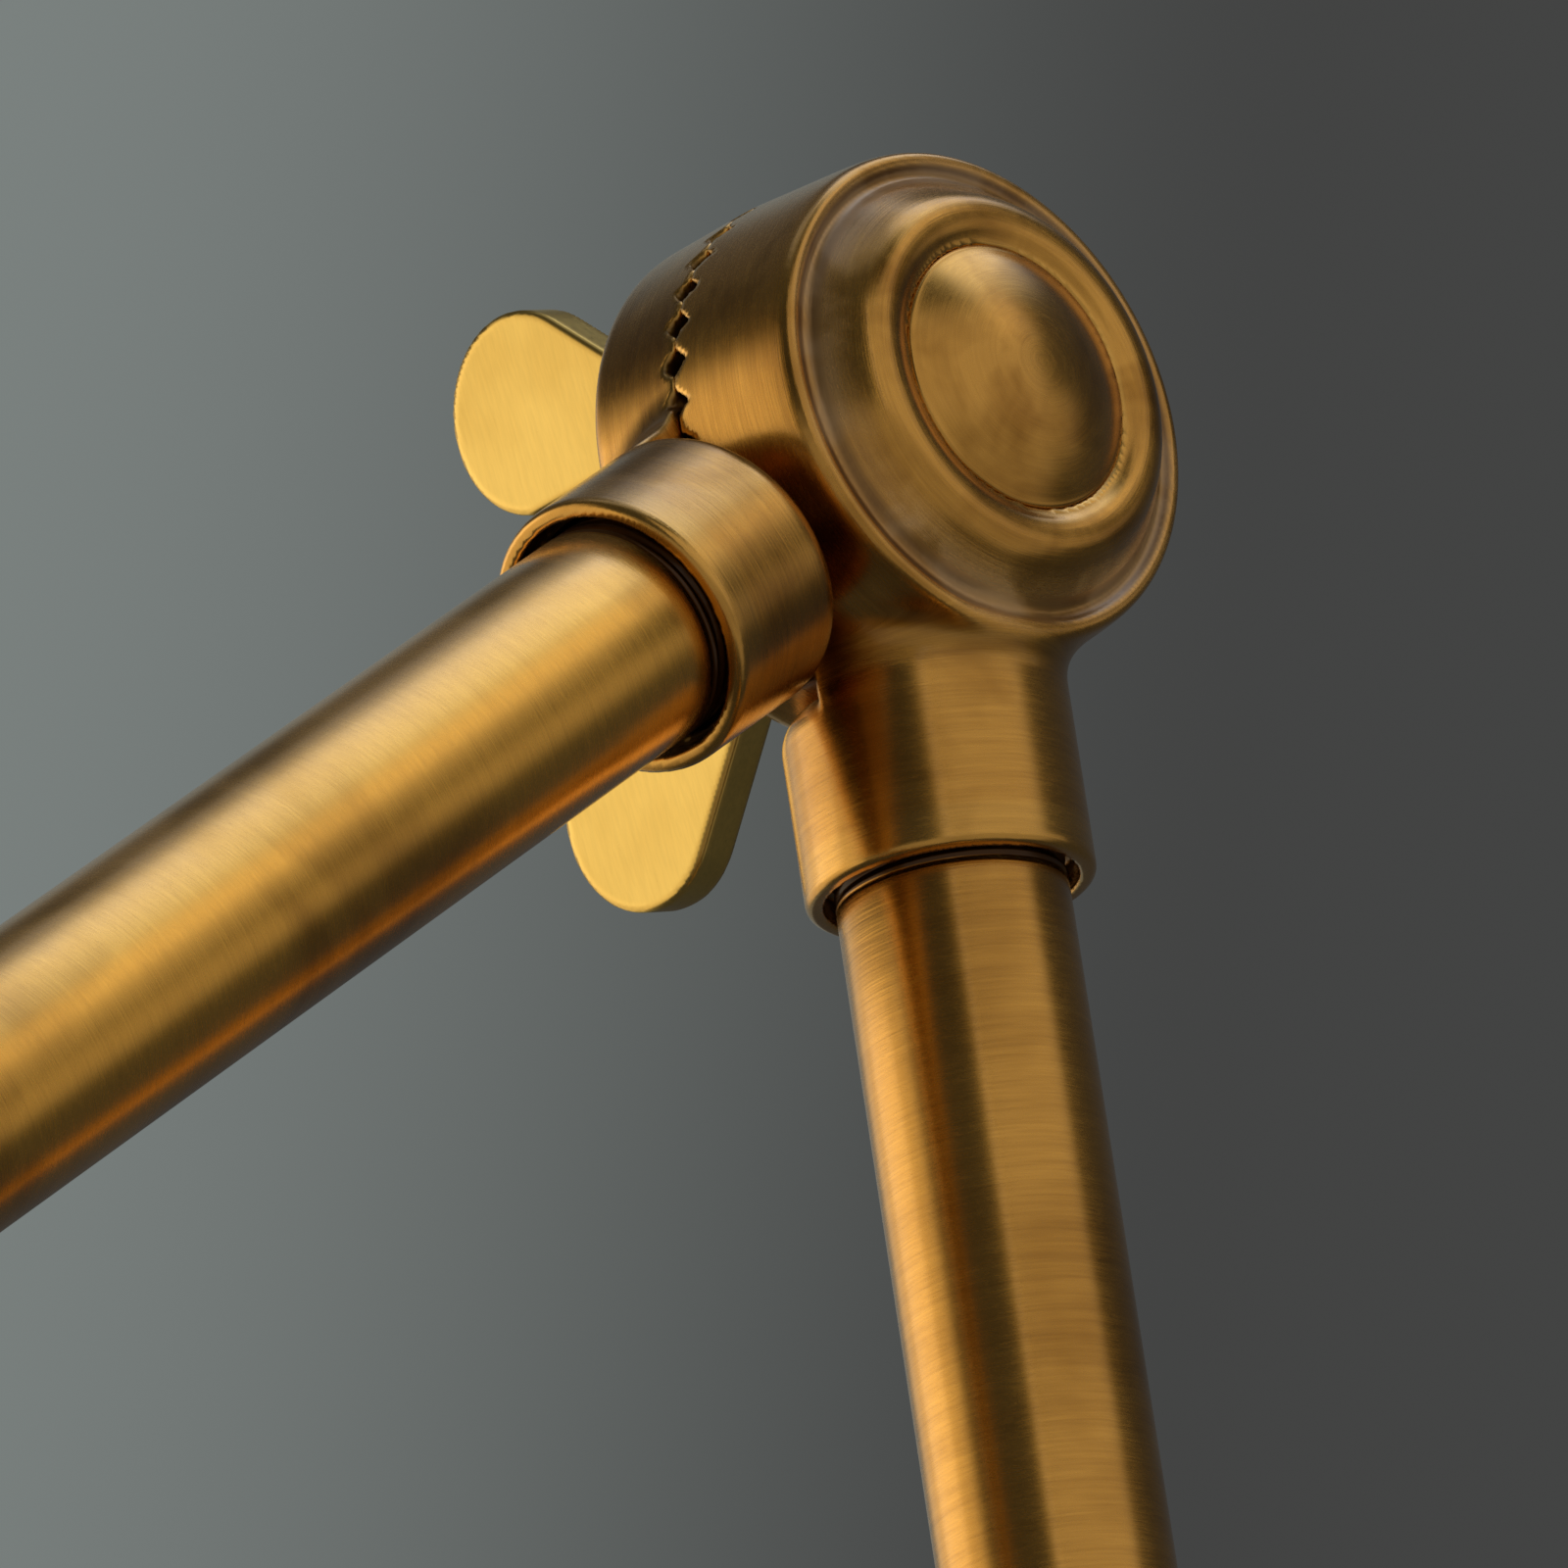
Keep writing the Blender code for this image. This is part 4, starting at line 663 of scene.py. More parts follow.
arm_direction = (HINGES["head_hinge"] - ELBOW).normalized()
arm_angle = math.atan2(arm_direction.z, arm_direction.y)
STEMS["elbow"] = (DOWN, arm_angle)
STEMS["head"] = (arm_angle + math.pi, DOWN)
KNUCKLE_BODIES = {"base": ("post", "lower_arm"), "elbow": ("lower_arm", "upper_arm"),
                  "head": ("upper_arm", "head")}
CAST_MARGIN = 0.8
CAST_FRONT = 15.2
cast_low = (-COLLAR_RADIUS - CAST_MARGIN, -DRUM_RADIUS - CAST_MARGIN, -DRUM_RADIUS - CAST_MARGIN)
cast_high = (CAST_FRONT, COLLAR_END + CAST_MARGIN, DRUM_RADIUS + CAST_MARGIN)
for side, part in ((1, "front_half"), (-1, "rear_half")):
    field = half_field(side)
    cast_points, cast_faces = meshed(field, cast_low, cast_high, CELL)
    cast_grain = half_grain(cast_points)
    cast_hollow, cast_edge = wear_values(field, cast_points)
    level = cast_points[:, 0]
    cast_radius = np.hypot(cast_points[:, 1], cast_points[:, 2])
    cast_hollow[(cast_radius < CLEAN_RADIUS) & (level > CLEAN_LEVEL)] = 0
    # Painted shade: inside the gap between the halves, under the drum's wall, the tooth faces are made fully
    # dark.
    cast_hollow[(cast_radius < DRUM_RADIUS - GAP_DEPTH) & (np.abs(level) < GAP_REACH)] = 1
    # A band of film in the face's cove: dirt where polishing does not reach, and a painted sheen.
    from_cove = np.abs(cast_radius - COVE_RADIUS)
    cove_film_and_sheen = COVE_FILM_AND_SHEEN * np.clip(1.6 - from_cove / 1.2, 0, 1) * (level > COVE_LEVEL)
    for number, (knuckle, stems) in enumerate(STEMS.items()):
        name = f"{knuckle}_{part}"
        stem = stems[0] if side > 0 else stems[1]
        half = surface(f"cast_{name}", to_lamp(cast_points, HINGES[f"{knuckle}_hinge"], stem), cast_faces)
        give_values(half, cast_grain, cast_hollow, cast_edge)
        # Dust and a painted highlight on upward faces, with the cove's dirt film and painted sheen.
        dust_and_painted_highlight(half, cove_film_and_sheen)
        half.data.materials.append(antique_brass(f"brushed_brass_{name}", 37.0 * number + 11 * side))
        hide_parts(name)
        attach(half, KNUCKLE_BODIES[knuckle][0 if side > 0 else 1])


# ---- Turned pieces of the knuckles -----------------------
# A spun brass cap snaps into the front half over the bolt's head.  The bolt runs through both
# halves and a washer to the wing nut, and its threaded end stands a little out of the nut.

DOME_RADIUS = 17.2
DOME_TOP = 16.7
DOME_EDGE = 9.55
BOLT_RADIUS = 3.0
BOLT_PITCH = 1.0
BOLT_HEAD_FLAT = 5.0                  # half of the distance across flats
BOLT_HEAD_TOP = 12.5
BOLT_HEAD_BASE = 9.95
WASHER_RADIUS = 8.0
WASHER_FRONT = -9.5
WASHER_BACK = -11.0
NUT_SEAT = 11.3
NUT_HEIGHT = 12.0
BOLT_TAIL = -(NUT_SEAT + NUT_HEIGHT + 1.5)
THREAD_TOP = -16.0
STEEL = (0.50, 0.49, 0.47)


def held(outline, longest, hold=0.3, closed=True):
    """An outline with extra points on its long edges: one a short hold from each end, so shading
    stays flat up to a corner, and more where an edge is longer than the longest allowed."""
    ends = np.roll(outline, -1, 0) if closed else outline[1:]
    made = []
    for a, b in zip(outline, ends):
        length = np.hypot(*(b - a))
        shares = [0.0]
        if length > 4 * hold:
            count = max(int(length / longest), 1)
            shares += [hold / length] + [k / count for k in range(1, count)] + [1 - hold / length]
        made += [a + (b - a) * share for share in shares]
    if not closed:
        made.append(outline[-1])
    return np.array(made)


def axis_frame(axis, first):
    """Columns (first, axis x first, axis): local height runs along the axis."""
    axis = np.array(axis, float)
    first = np.array(first, float)
    return np.stack([first, np.cross(axis, first), axis], 1)


def hinge_axis(angle):
    """Frame whose height runs along a hinge, with its first direction along a stem."""
    return axis_frame((1, 0, 0), (0, math.cos(angle), math.sin(angle)))


def stem_axis(angle):
    """Frame whose height runs along a stem, with its first direction along the hinge."""
    return axis_frame((0, math.cos(angle), math.sin(angle)), (1, 0, 0))


UPRIGHT = axis_frame((0, 0, 1), (1, 0, 0))


def outline_wear(outline, depth, step):
    """The two wear values along an outline, by its distance a short way out of it and into it."""
    closed = outline
    if outline[0, 0] == 0:
        closed = np.concatenate([outline, [(-4, outline[-1, 1]), (-4, outline[0, 1])]])
    distance = outline_distance(closed, step, depth + 2 * step)
    ahead = np.roll(closed, -1, 0) - np.roll(closed, 1, 0)
    normal = np.stack([ahead[:, 1], -ahead[:, 0]], 1)
    normal = (normal / np.maximum(np.linalg.norm(normal, axis=1), 1e-9)[:, None])[:len(outline)]
    probe = outline + normal * 2 * step
    normal *= np.where(distance(*probe.T) > 0, 1, -1)[:, None]
    hollow = 1 - distance(*(outline + depth * normal).T) / depth
    edge = 1 + distance(*(outline - 0.5 * depth * normal).T) / (0.5 * depth)
    return np.clip(hollow, 0, 1), np.clip(edge, 0, 1)


def turned(name, outline, origin, axes, around=96, depth=1.2, step=0.08, shape=None):
    """A piece turned from an outline of (radius, height) millimetres: point (i, j) lies at the i-th
    outline point, turned j steps about the axis.  The outline is a closed ring, or runs from axis
    to axis, where each end closes in a fan.  A shape function may move radius and height by angle."""
    outline = np.asarray(outline, float)
    poles = outline[0, 0] == 0 and outline[-1, 0] == 0
    hollow, edge = outline_wear(outline, depth, step)
    run = np.concatenate([[0], np.cumsum(np.linalg.norm(np.diff(outline, axis=0), axis=1))])
    angle = 2 * math.pi * np.arange(around) / around
    radius = np.repeat(outline[:, :1], around, 1)
    height = np.repeat(outline[:, 1:], around, 1)
    if shape:
        radius, height = shape(radius, height, angle[None, :])
    points = np.stack([radius * np.cos(angle), radius * np.sin(angle), height], 2)
    grain = np.stack([np.repeat(run[:, None], around, 1), points[..., 0], points[..., 1]], 2)
    rows = len(outline)
    number = np.arange(rows * around).reshape(rows, around)
    if poles:
        number[0] = 0
        number[-1] = (rows - 1) * around
    upper = number if not poles else number[1:-1]
    lower = np.roll(number, -1, 0) if not poles else number[2:-1]
    upper = upper if not poles else upper[:-1]
    turn = lambda ring: np.roll(ring, -1, 1)
    quads = np.stack([upper, lower, turn(lower), turn(upper)], -1).reshape(-1, 4)
    fans = np.zeros((0, 3), int)
    if poles:
        first = np.stack([number[0], number[1], np.roll(number[1], -1)], 1)
        last = np.stack([number[-1], np.roll(number[-2], -1), number[-2]], 1)
        fans = np.concatenate([first, last])
    points = points.reshape(-1, 3)
    a, b, c = (points[quads[:, k]] for k in (0, 1, 2))
    d = points[quads[:, 3]]
    volume = (np.cross(a, b) * c).sum() + (np.cross(a, c) * d).sum()
    if volume < 0:
        quads, fans = quads[:, ::-1], fans[:, ::-1]
    used = np.unique(np.concatenate([quads.ravel(), fans.ravel()]))
    renumber = np.zeros(len(points), int)
    renumber[used] = np.arange(len(used))
    world = points[used] @ axes.T * MM + np.array(origin)
    piece = surface(name, world, renumber[quads], renumber[fans])
    spread = lambda values: np.repeat(values, around)[used]
    give_values(piece, grain.reshape(-1, 3)[used], spread(hollow), spread(edge))
    return piece


def arc_points(centre, radius, start, end, count):
    """Points on an arc from one angle to another, in degrees."""
    angle = np.radians(np.linspace(start, end, count))
    return np.stack([centre[0] + radius * np.cos(angle), centre[1] + radius * np.sin(angle)], 1)


def threaded(low, high, pitch, depth, least_radius):
    """Shape function that winds a V thread into the outer wall between two heights: the radius
    drops by a triangle wave of the height less one pitch per turn, and eases in at both ends."""
    def shape(radius, height, angle):
        wave = (height / pitch - angle / (2 * math.pi)) % 1.0
        groove = 1 - np.abs(2 * wave - 1)
        ease = np.clip((height - low) / pitch, 0, 1) * np.clip((high - height) / pitch, 0, 1)
        return np.where(radius > least_radius, radius - depth * groove * ease, radius), height
    return shape


def plain_metal(name, colour, roughness):
    """Plated or drawn metal: a fine grain in the roughness and a slow change of shade."""
    return mottled(name, colour, 1.0, roughness, (90, 2), ((0.3, shade(colour, 0.82)), (0.7, colour)),
                   (3000, 3, 0.6), (0.15, 0.00003), 0.25)


def finished(piece, body, slot, material, *nodes):
    """Gives a piece its material and its place in the lamp: the body it rides on, the finish slot,
    which is not used, and the nodes it stands for."""
    piece.data.materials.append(material)
    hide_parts(*nodes)
    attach(piece, body)
    return piece


def dress(material, *nodes):
    """Puts a material on frame nodes that keep their own shape."""
    for node in nodes:
        frame["nodes"][node].data.materials.clear()
        frame["nodes"][node].data.materials.append(material)


def brass_turning(node, name, finish, body, *turning, **shape):
    """A turned piece of antique brass that stands for one frame node; the finish is the brass's own
    name and amounts."""
    finished(turned(name, *turning, **shape), body, "antique_brass", antique_brass(*finish), node)


def between_centres(*rings):
    """An outline from axis to axis, its first and last points put on the axis."""
    outline = np.concatenate(rings)
    outline[[0, -1], 0] = 0
    return outline


cap_rim = 90 - math.degrees(math.asin(8.9 / DOME_RADIUS))
dome_outline = between_centres(
    arc_points((0, DOME_TOP - DOME_RADIUS), DOME_RADIUS, 90, cap_rim, 20),
    [(9.15, 14.07), (9.35, 13.98), (DOME_EDGE, 13.93), (DOME_EDGE, 13.4), (DOME_EDGE - 0.1, 9.9),
     (7.7, 9.9), (7.7, 12.6), (7.0, 13.1), (0, 13.4)])
thread_heights = np.linspace(THREAD_TOP, BOLT_TAIL + 0.5, 60)
bolt_outline = np.concatenate([
    [(0, BOLT_HEAD_TOP), (4.6, BOLT_HEAD_TOP), (BOLT_HEAD_FLAT, BOLT_HEAD_TOP - 0.35),
     (BOLT_HEAD_FLAT, BOLT_HEAD_BASE), (BOLT_RADIUS, BOLT_HEAD_BASE), (BOLT_RADIUS, BOLT_HEAD_BASE - 0.3)],
    np.stack([np.full(60, BOLT_RADIUS), thread_heights], 1),
    [(BOLT_RADIUS - 0.45, BOLT_TAIL), (0, BOLT_TAIL)]])
bolt_thread = threaded(BOLT_TAIL, THREAD_TOP, BOLT_PITCH, 0.4, BOLT_RADIUS - 0.05)
washer_outline = rounded([(BOLT_BORE, WASHER_FRONT, 0.1), (WASHER_RADIUS, WASHER_FRONT, 0.3),
                          (WASHER_RADIUS, WASHER_BACK, 0.3), (BOLT_BORE, WASHER_BACK, 0.1)], 4)


def bolt_shape(radius, height, angle):
    """Hexagon on the head, where the radius is the flat's distance over the cosine of the angle
    from the flat's middle, and thread on the shank."""
    turn = (angle + math.pi / 6) % (math.pi / 3) - math.pi / 6
    head = (height > BOLT_HEAD_BASE - 0.01) & (radius > BOLT_RADIUS + 0.5)
    radius = np.where(head, radius / np.cos(turn), radius)
    return bolt_thread(radius, height, angle)


steel_finish = plain_metal("zinc_plated_steel", STEEL, 0.34)
for number, (knuckle, stems) in enumerate(STEMS.items()):
    hinge = HINGES[f"{knuckle}_hinge"]
    front_body, rear_body = KNUCKLE_BODIES[knuckle]
    front_axes, rear_axes = hinge_axis(stems[0]), hinge_axis(stems[1])
    cap_line = held(dome_outline, 4, closed=False)
    brass_turning(f"{knuckle}_dome_cap", f"spun_{knuckle}_cap",
                  (f"spun_brass_{knuckle}_cap", 61 + 29 * number, 0.55, 0.13), front_body,
                  cap_line, hinge, front_axes, 128, 0.3)
    finished(turned(f"threaded_{knuckle}_bolt", bolt_outline, hinge, front_axes, 72, shape=bolt_shape),
             front_body, "steel", steel_finish, f"{knuckle}_pivot_bolt")
    brass_turning(f"{knuckle}_washer", f"turned_{knuckle}_washer",
                  (f"turned_brass_{knuckle}_washer", 83 + 17 * number), rear_body,
                  washer_outline, hinge, rear_axes)
    dress(steel_finish, f"{knuckle}_spring")


# ---- Wing nuts -------------------------------------------
# Cast brass, with two broad ears ground flat and polished brighter than the rest of the lamp.
# Distances are in millimetres: u along the ears, v through them, w away from the drum.

NUT_BASE_RADIUS = 7.6
NUT_TOP_RADIUS = 6.4
EAR_REACH = 14.8
EAR_RISE = 19.6
EAR_RADIUS = 7.2
EAR_INSIDE = 7.8
EAR_THICKNESS = 3.2
EAR_ANGLE = math.radians(100)
NUT_CELL = 0.33
EAR_BRASS = (0.80, 0.560, 0.155)


def wing_nut_field():
    """Distance field of the nut: an outline given a thickness for the ears, and a turned barrel,
    joined in a small fillet, less the bolt's bore."""
    top = math.degrees(math.acos((EAR_INSIDE - EAR_REACH) / EAR_RADIUS))
    ear = arc_points((EAR_REACH, EAR_RISE), EAR_RADIUS, top, -45, 40)
    foot = ear[-1] - (ear[-1, 0] - 4.5)
    half = np.concatenate([[(EAR_INSIDE, 9.6), (EAR_INSIDE, 16)], ear, [foot]])
    outline = np.concatenate([half, (half * (-1, 1))[::-1]])
    ears = outline_distance(outline, 0.08, 3.0)
    barrel_outline = rounded([(-3, 0, 0), (NUT_BASE_RADIUS, 0, 0.5), (NUT_BASE_RADIUS, 1.8, 0.6),
                              (NUT_TOP_RADIUS, NUT_HEIGHT, 0.9), (-3, NUT_HEIGHT, 0)], 5)
    barrel = outline_distance(barrel_outline, 0.08, 3.0)

    def field(u, v, w):
        across_ear = np.abs(v) - EAR_THICKNESS / 2
        flat = -joined(-ears(u, w), -across_ear, 0.35)
        rho = np.hypot(u, v)
        solid = joined(flat, barrel(rho, w), 1.4)
        return cut(solid, rho - BOLT_RADIUS - 0.25 + 0 * w, 0.3)
    return field


def ground_brass(name, offset):
    """Bright brass, ground and buffed: faint straight grinding marks and slow clouds, its edges
    brightest."""
    material, tree, shader = new_material(name, EAR_BRASS, 1.0, 0.3)
    along_marks = brushing(tree, offset, offset)
    marks = drawn_noise(along_marks, (0.35, 3.2, 3.2), 4, 0.6)
    clouds = drawn_noise(along_marks, (0.12, 0.12, 0.12))
    colour = ramp(marks, (0.3, shade(EAR_BRASS, 0.88)), (0.65, EAR_BRASS))
    cloud = ramp(clouds, (0.35, (0.86, 0.82, 0.74)), (0.6, (1, 1, 1)))
    colour = blended(0.7, colour, cloud, "MULTIPLY")
    colour = blended(attribute(tree, "edge"), colour, BRASS_BRIGHT)
    feed(colour, shader.inputs["Base Color"])
    feed(carried(marks, 0.24, 0.36), shader.inputs["Roughness"])
    bumped(shader, marks, 0.2, 0.00003)
    return material


nut_field = wing_nut_field()
nut_points, nut_faces = meshed(nut_field, (-23, -8.6, -1), (23, 8.6, 27.8), NUT_CELL)
nut_hollow, nut_edge = wear_values(nut_field, nut_points, 1.2)
ear_y, ear_z = math.cos(EAR_ANGLE), math.sin(EAR_ANGLE)
nut_axes = np.stack([(0, ear_y, ear_z), (0, ear_z, -ear_y), (-1, 0, 0)], 1)
if np.linalg.det(nut_axes) < 0:
    nut_faces = nut_faces[:, ::-1]
for number, knuckle in enumerate(STEMS):
    hinge = np.array(HINGES[f"{knuckle}_hinge"])
    nut_place = (nut_points + (0, 0, NUT_SEAT)) @ nut_axes.T * MM + hinge
    nut = surface(f"cast_{knuckle}_wing_nut", nut_place, nut_faces)
    give_values(nut, nut_points, nut_hollow, nut_edge)
    finished(nut, f"{knuckle}_nut", "polished_brass",
             ground_brass(f"ground_brass_{knuckle}_nut", 19 * number), f"{knuckle}_wing_nut")


# ---- Arm tubes, post and head stem -----------------------
# Drawn brass tube, 16 mm outside, threaded at its ends to screw into the collars.  Fine brushing
# runs round it, and a few turns of thread show in each collar's mouth.

TUBE_RADIUS = 8.0
TUBE_BORE = 6.5
TUBE_CHAMFER = 0.3
TUBE_START = 24.4                     # of a tube from its hinge
THREAD_PITCH = 0.9
THREAD_DEPTH = 0.42
THREAD_LENGTH = 8.9
COLLAR_SHADOW = 0.25                  # past a collar's end, where the collar's painted shade still darkens the tube
TUBE_BRASS = (0.95, 0.515, 0.085)


def tube_outline(start, end, far_thread):
    """Closed outline of a tube's wall, with rows close enough for a thread at each threaded end."""
    rows = int(THREAD_LENGTH / THREAD_PITCH * 8)
    first = np.linspace(start + TUBE_CHAMFER, start + THREAD_LENGTH, rows)
    last = np.array([end - 1, end - TUBE_CHAMFER])
    if far_thread:
        last = np.linspace(end - THREAD_LENGTH, end - TUBE_CHAMFER, rows)
    heights = np.concatenate([first, np.linspace(first[-1], last[0], 26)[1:-1], last])
    outer = np.stack([np.full(len(heights), TUBE_RADIUS), heights], 1)
    return np.concatenate([[(TUBE_RADIUS - TUBE_CHAMFER, start)], outer,
                           [(TUBE_RADIUS - TUBE_CHAMFER, end), (TUBE_BORE, end), (TUBE_BORE, start)]])


def arm_tube(name, end, hinge, angle, far_thread=True):
    """A tube along a stem, with thread wound into the ends that screw into collars, and painted
    shade on it inside them."""
    start = TUBE_START
    near = threaded(start, start + THREAD_LENGTH, THREAD_PITCH, THREAD_DEPTH, TUBE_RADIUS - 0.05)
    far = threaded(end - THREAD_LENGTH, end, THREAD_PITCH, THREAD_DEPTH, TUBE_RADIUS - 0.05)

    def both(radius, height, angles):
        radius, height = near(radius, height, angles)
        return far(radius, height, angles) if far_thread else (radius, height)
    axes = stem_axis(angle)
    tube = turned(name, tube_outline(start, end, far_thread), hinge, axes, 112, 0.6, 0.2, both)
    places = np.empty(3 * len(tube.data.vertices))
    tube.data.vertices.foreach_get("co", places)
    height = (places.reshape(-1, 3) - np.array(hinge)) @ axes[:, 2] / MM
    # Painted shade: the tube is made fully dark inside each collar and a short way past its end.
    covered = COLLAR_END + COLLAR_SHADOW
    shaded_in_collar = (height < covered) | (far_thread & (height > end + start - covered))
    hollow = tube.data.attributes["hollow"].data
    soiled = np.empty(len(height))
    hollow.foreach_get("value", soiled)
    hollow.foreach_set("value", np.where(shaded_in_collar, 1, soiled))
    # Dust and a painted highlight on the tube's upward side.
    dust_and_painted_highlight(tube)
    return tube


BASE_HINGE, HEAD = HINGES["base_hinge"], HINGES["head_hinge"]
lower_end = (ELBOW - BASE_HINGE).length / MM - TUBE_START
upper_end = (HEAD - ELBOW).length / MM - TUBE_START
post_end = (BASE_HINGE.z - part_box("swivel_post")[0].z) / MM
stem_end = (HEAD.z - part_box("head_stem")[0].z) / MM
for body, node, end, hinge, angle, finish in (
        ("lower_arm", "lower_tube", lower_end, ELBOW, DOWN, ("lower_tube", 5, 1.0, 0.05)),
        ("upper_arm", "upper_tube", upper_end, ELBOW, arm_angle, ("upper_tube", 147, 0.4, 0.05, TUBE_BRASS)),
        ("post", "swivel_post", post_end, BASE_HINGE, DOWN, ("post", 211)),
        ("head", "head_stem", stem_end, HEAD, DOWN, ("head_stem", 263))):
    tube = arm_tube(f"drawn_{node}", end, hinge, angle, node != "swivel_post")
    finished(tube, body, "antique_brass", antique_brass(f"brushed_brass_{finish[0]}", *finish[1:]), node)


# ---- Base ------------------------------------------------
# A heavy iron disc under a spun brass cover, closed by a steel plate and a felt pad.  The cover has
# a rolled step at its edge and is drawn up in the middle into a boss for the swivel.

FELT_RADIUS = 107.0
FELT_GREEN = (0.035, 0.060, 0.042)
FELT_FIBRES = (2600, 4, 0.7, 1.0)
IRON = (0.045, 0.045, 0.048)
IRON_PEBBLES = (700, 5, 0.6)
LEAD_BROWN = (0.10, 0.06, 0.035)
LEAD_THREADS = 600
COVER_WALL = 1.3
COVER_FOOT = 1.5
BOSS_TOP = (12.7, 46.0)
ORIGIN = (0, 0, 0)


def moulded_plastic(name, colour, roughness=0.42):
    """Moulded plastic: a fine spark-eroded grain and a slight change of colour."""
    return mottled(name, colour, 0, roughness, (160, 2), ((0.3, colour), (0.7, shade(colour, 1.35))),
                   (4200, 3, 0.6), (0.3, 0.00004))


def woven_sheath(name, colour):
    """Woven cotton over plastic: two crossing sets of diagonal threads."""
    material, tree, shader = new_material(name, colour, 0, 0.8)
    space = new_node("TexCoord", tree=tree), "Object"
    inputs = {"Vector": space, "Scale": LEAD_THREADS, "Distortion": 2}
    threads = new_node("TexWave", inputs, wave_type="BANDS", bands_direction="DIAGONAL"), "Fac"
    tint = ramp(threads, (0.2, shade(colour, 0.5)), (0.8, colour))
    feed(tint, shader.inputs["Base Color"])
    bumped(shader, threads, 0.5, 0.0001)
    return material


def line_normals(line):
    """Unit normals along a line of points, to its left."""
    slope = np.gradient(line, axis=0)
    normal = np.stack([-slope[:, 1], slope[:, 0]], 1)
    return normal / np.linalg.norm(normal, axis=1)[:, None]


cover_top = rounded([
    (*BOSS_TOP, 0), (15.5, 46.0, 1.0), (15.9, 41.5, 3.0), (17.5, 37.0, 3.0), (24.5, 32.6, 5.0),
    (41.5, 30.6, 10.0), (70, 28.9, 12.0), (90, 25.1, 8.0), (97.2, 20.0, 3.2), (100.6, 16.6, 1.0),
    (103.0, 15.9, 1.2), (107.6, 15.0, 2.2), (110.0, 12.2, 2.6), (110.0, 4.2, 1.2),
    (109.75, COVER_FOOT, 0)], 7)[7:-7]
cover_top = np.concatenate([[BOSS_TOP], cover_top, [(109.8, COVER_FOOT)]])
cover_under = (cover_top - COVER_WALL * line_normals(cover_top))[::-1]
cover_under[:, 0] = np.clip(cover_under[:, 0], BOSS_TOP[0], 108.5)
cover_under[:, 1] = np.maximum(cover_under[:, 1], COVER_FOOT)
cover_outline = held(np.concatenate([cover_top, cover_under]), 9, 0.5)
brass_turning("base_cover", "spun_base_cover", ("spun_brass_base", 311, 0.9, 0.035), "base",
              cover_outline, ORIGIN, UPRIGHT, 256, 1.0, 0.25)
felt_outline = rounded([(0, 0, 0), (FELT_RADIUS, 0, 0.3), (FELT_RADIUS, 2.0, 0.3), (0, 2.0, 0)], 4)[3:-3]
felt_shades = ((0.3, shade(FELT_GREEN, 0.55)), (0.7, shade(FELT_GREEN, 1.5)))
finished(turned("felt_pad_disc", felt_outline, ORIGIN, UPRIGHT, 192, 1.0, 0.4), "base", "felt",
         mottled("pressed_felt", FELT_GREEN, 0, 0.95, FELT_FIBRES, felt_shades, FELT_FIBRES, (0.6, 0.0003),
                 extra={"Sheen Weight": 0.3}), "felt_pad")
dress(mottled("black_cast_iron", IRON, 0.3, 0.75, IRON_PEBBLES, ((0.35, IRON), (0.75, shade(IRON, 2.2))),
              IRON_PEBBLES, (0.5, 0.0004)), "base_weight")
dress(steel_finish, "base_plate", "plate_screw_1", "plate_screw_2", "plate_screw_3", "bush_nut", "post_clip")
dress(woven_sheath("brown_lead_sheath", LEAD_BROWN), "base_lead", "post_lead", "lower_lead", "upper_lead",
      "head_lead")

gland_low, gland_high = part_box("cord_gland")
gland_place = (0, 0, (gland_low.z + gland_high.z) / 2)
gland_outline = held(rounded([(4.4, 112.4, 0.6), (4.4, 110.35, 0.3), (3.3, 110.3, 0.1), (3.3, 106.6, 0.2),
                              (1.8, 106.6, 0.1), (1.8, 111.6, 0.4), (2.3, 112.5, 0.4)], 5), 3)
gland_axes = axis_frame((0, 1, 0), (1, 0, 0))
finished(turned("moulded_cord_gland", gland_outline, gland_place, gland_axes, 64, 0.6), "base",
         "black_plastic", moulded_plastic("black_gland_plastic", (0.022, 0.022, 0.024)), "cord_gland")

bush_low, bush_high = (corner.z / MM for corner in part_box("base_bush"))
bush_outline = rounded([(15.3, bush_high, 0.6), (15.3, bush_high - 2.2, 0.2), (12.3, bush_high - 2.2, 0.1),
                        (12.3, bush_low, 0.3), (8.35, bush_low, 0.2), (8.35, bush_high, 0.3)], 5)
brass_turning("base_bush", "turned_base_bush", ("turned_brass_bush", 331), "base",
              held(bush_outline, 6), ORIGIN, UPRIGHT, 128, 0.8)
collar_low, collar_high = (corner.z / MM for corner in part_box("post_collar"))
post_collar_outline = rounded([(12.5, collar_low, 0.3), (12.5, collar_high, 1.1), (8.35, collar_high, 0.3),
                               (8.35, collar_low, 0.2)], 6)
brass_turning("post_collar", "turned_post_collar", ("turned_brass_post_collar", 347), "post",
              held(post_collar_outline, 4), ORIGIN, UPRIGHT, 128, 0.8)


# ---- Lamp head -------------------------------------------
# A spun cup holds the porcelain lamp holder on the head stem.  A flared shade with a rolled rim
# sits on the cup's end, clamped by a ring, round a clear globe bulb with a screw cap.

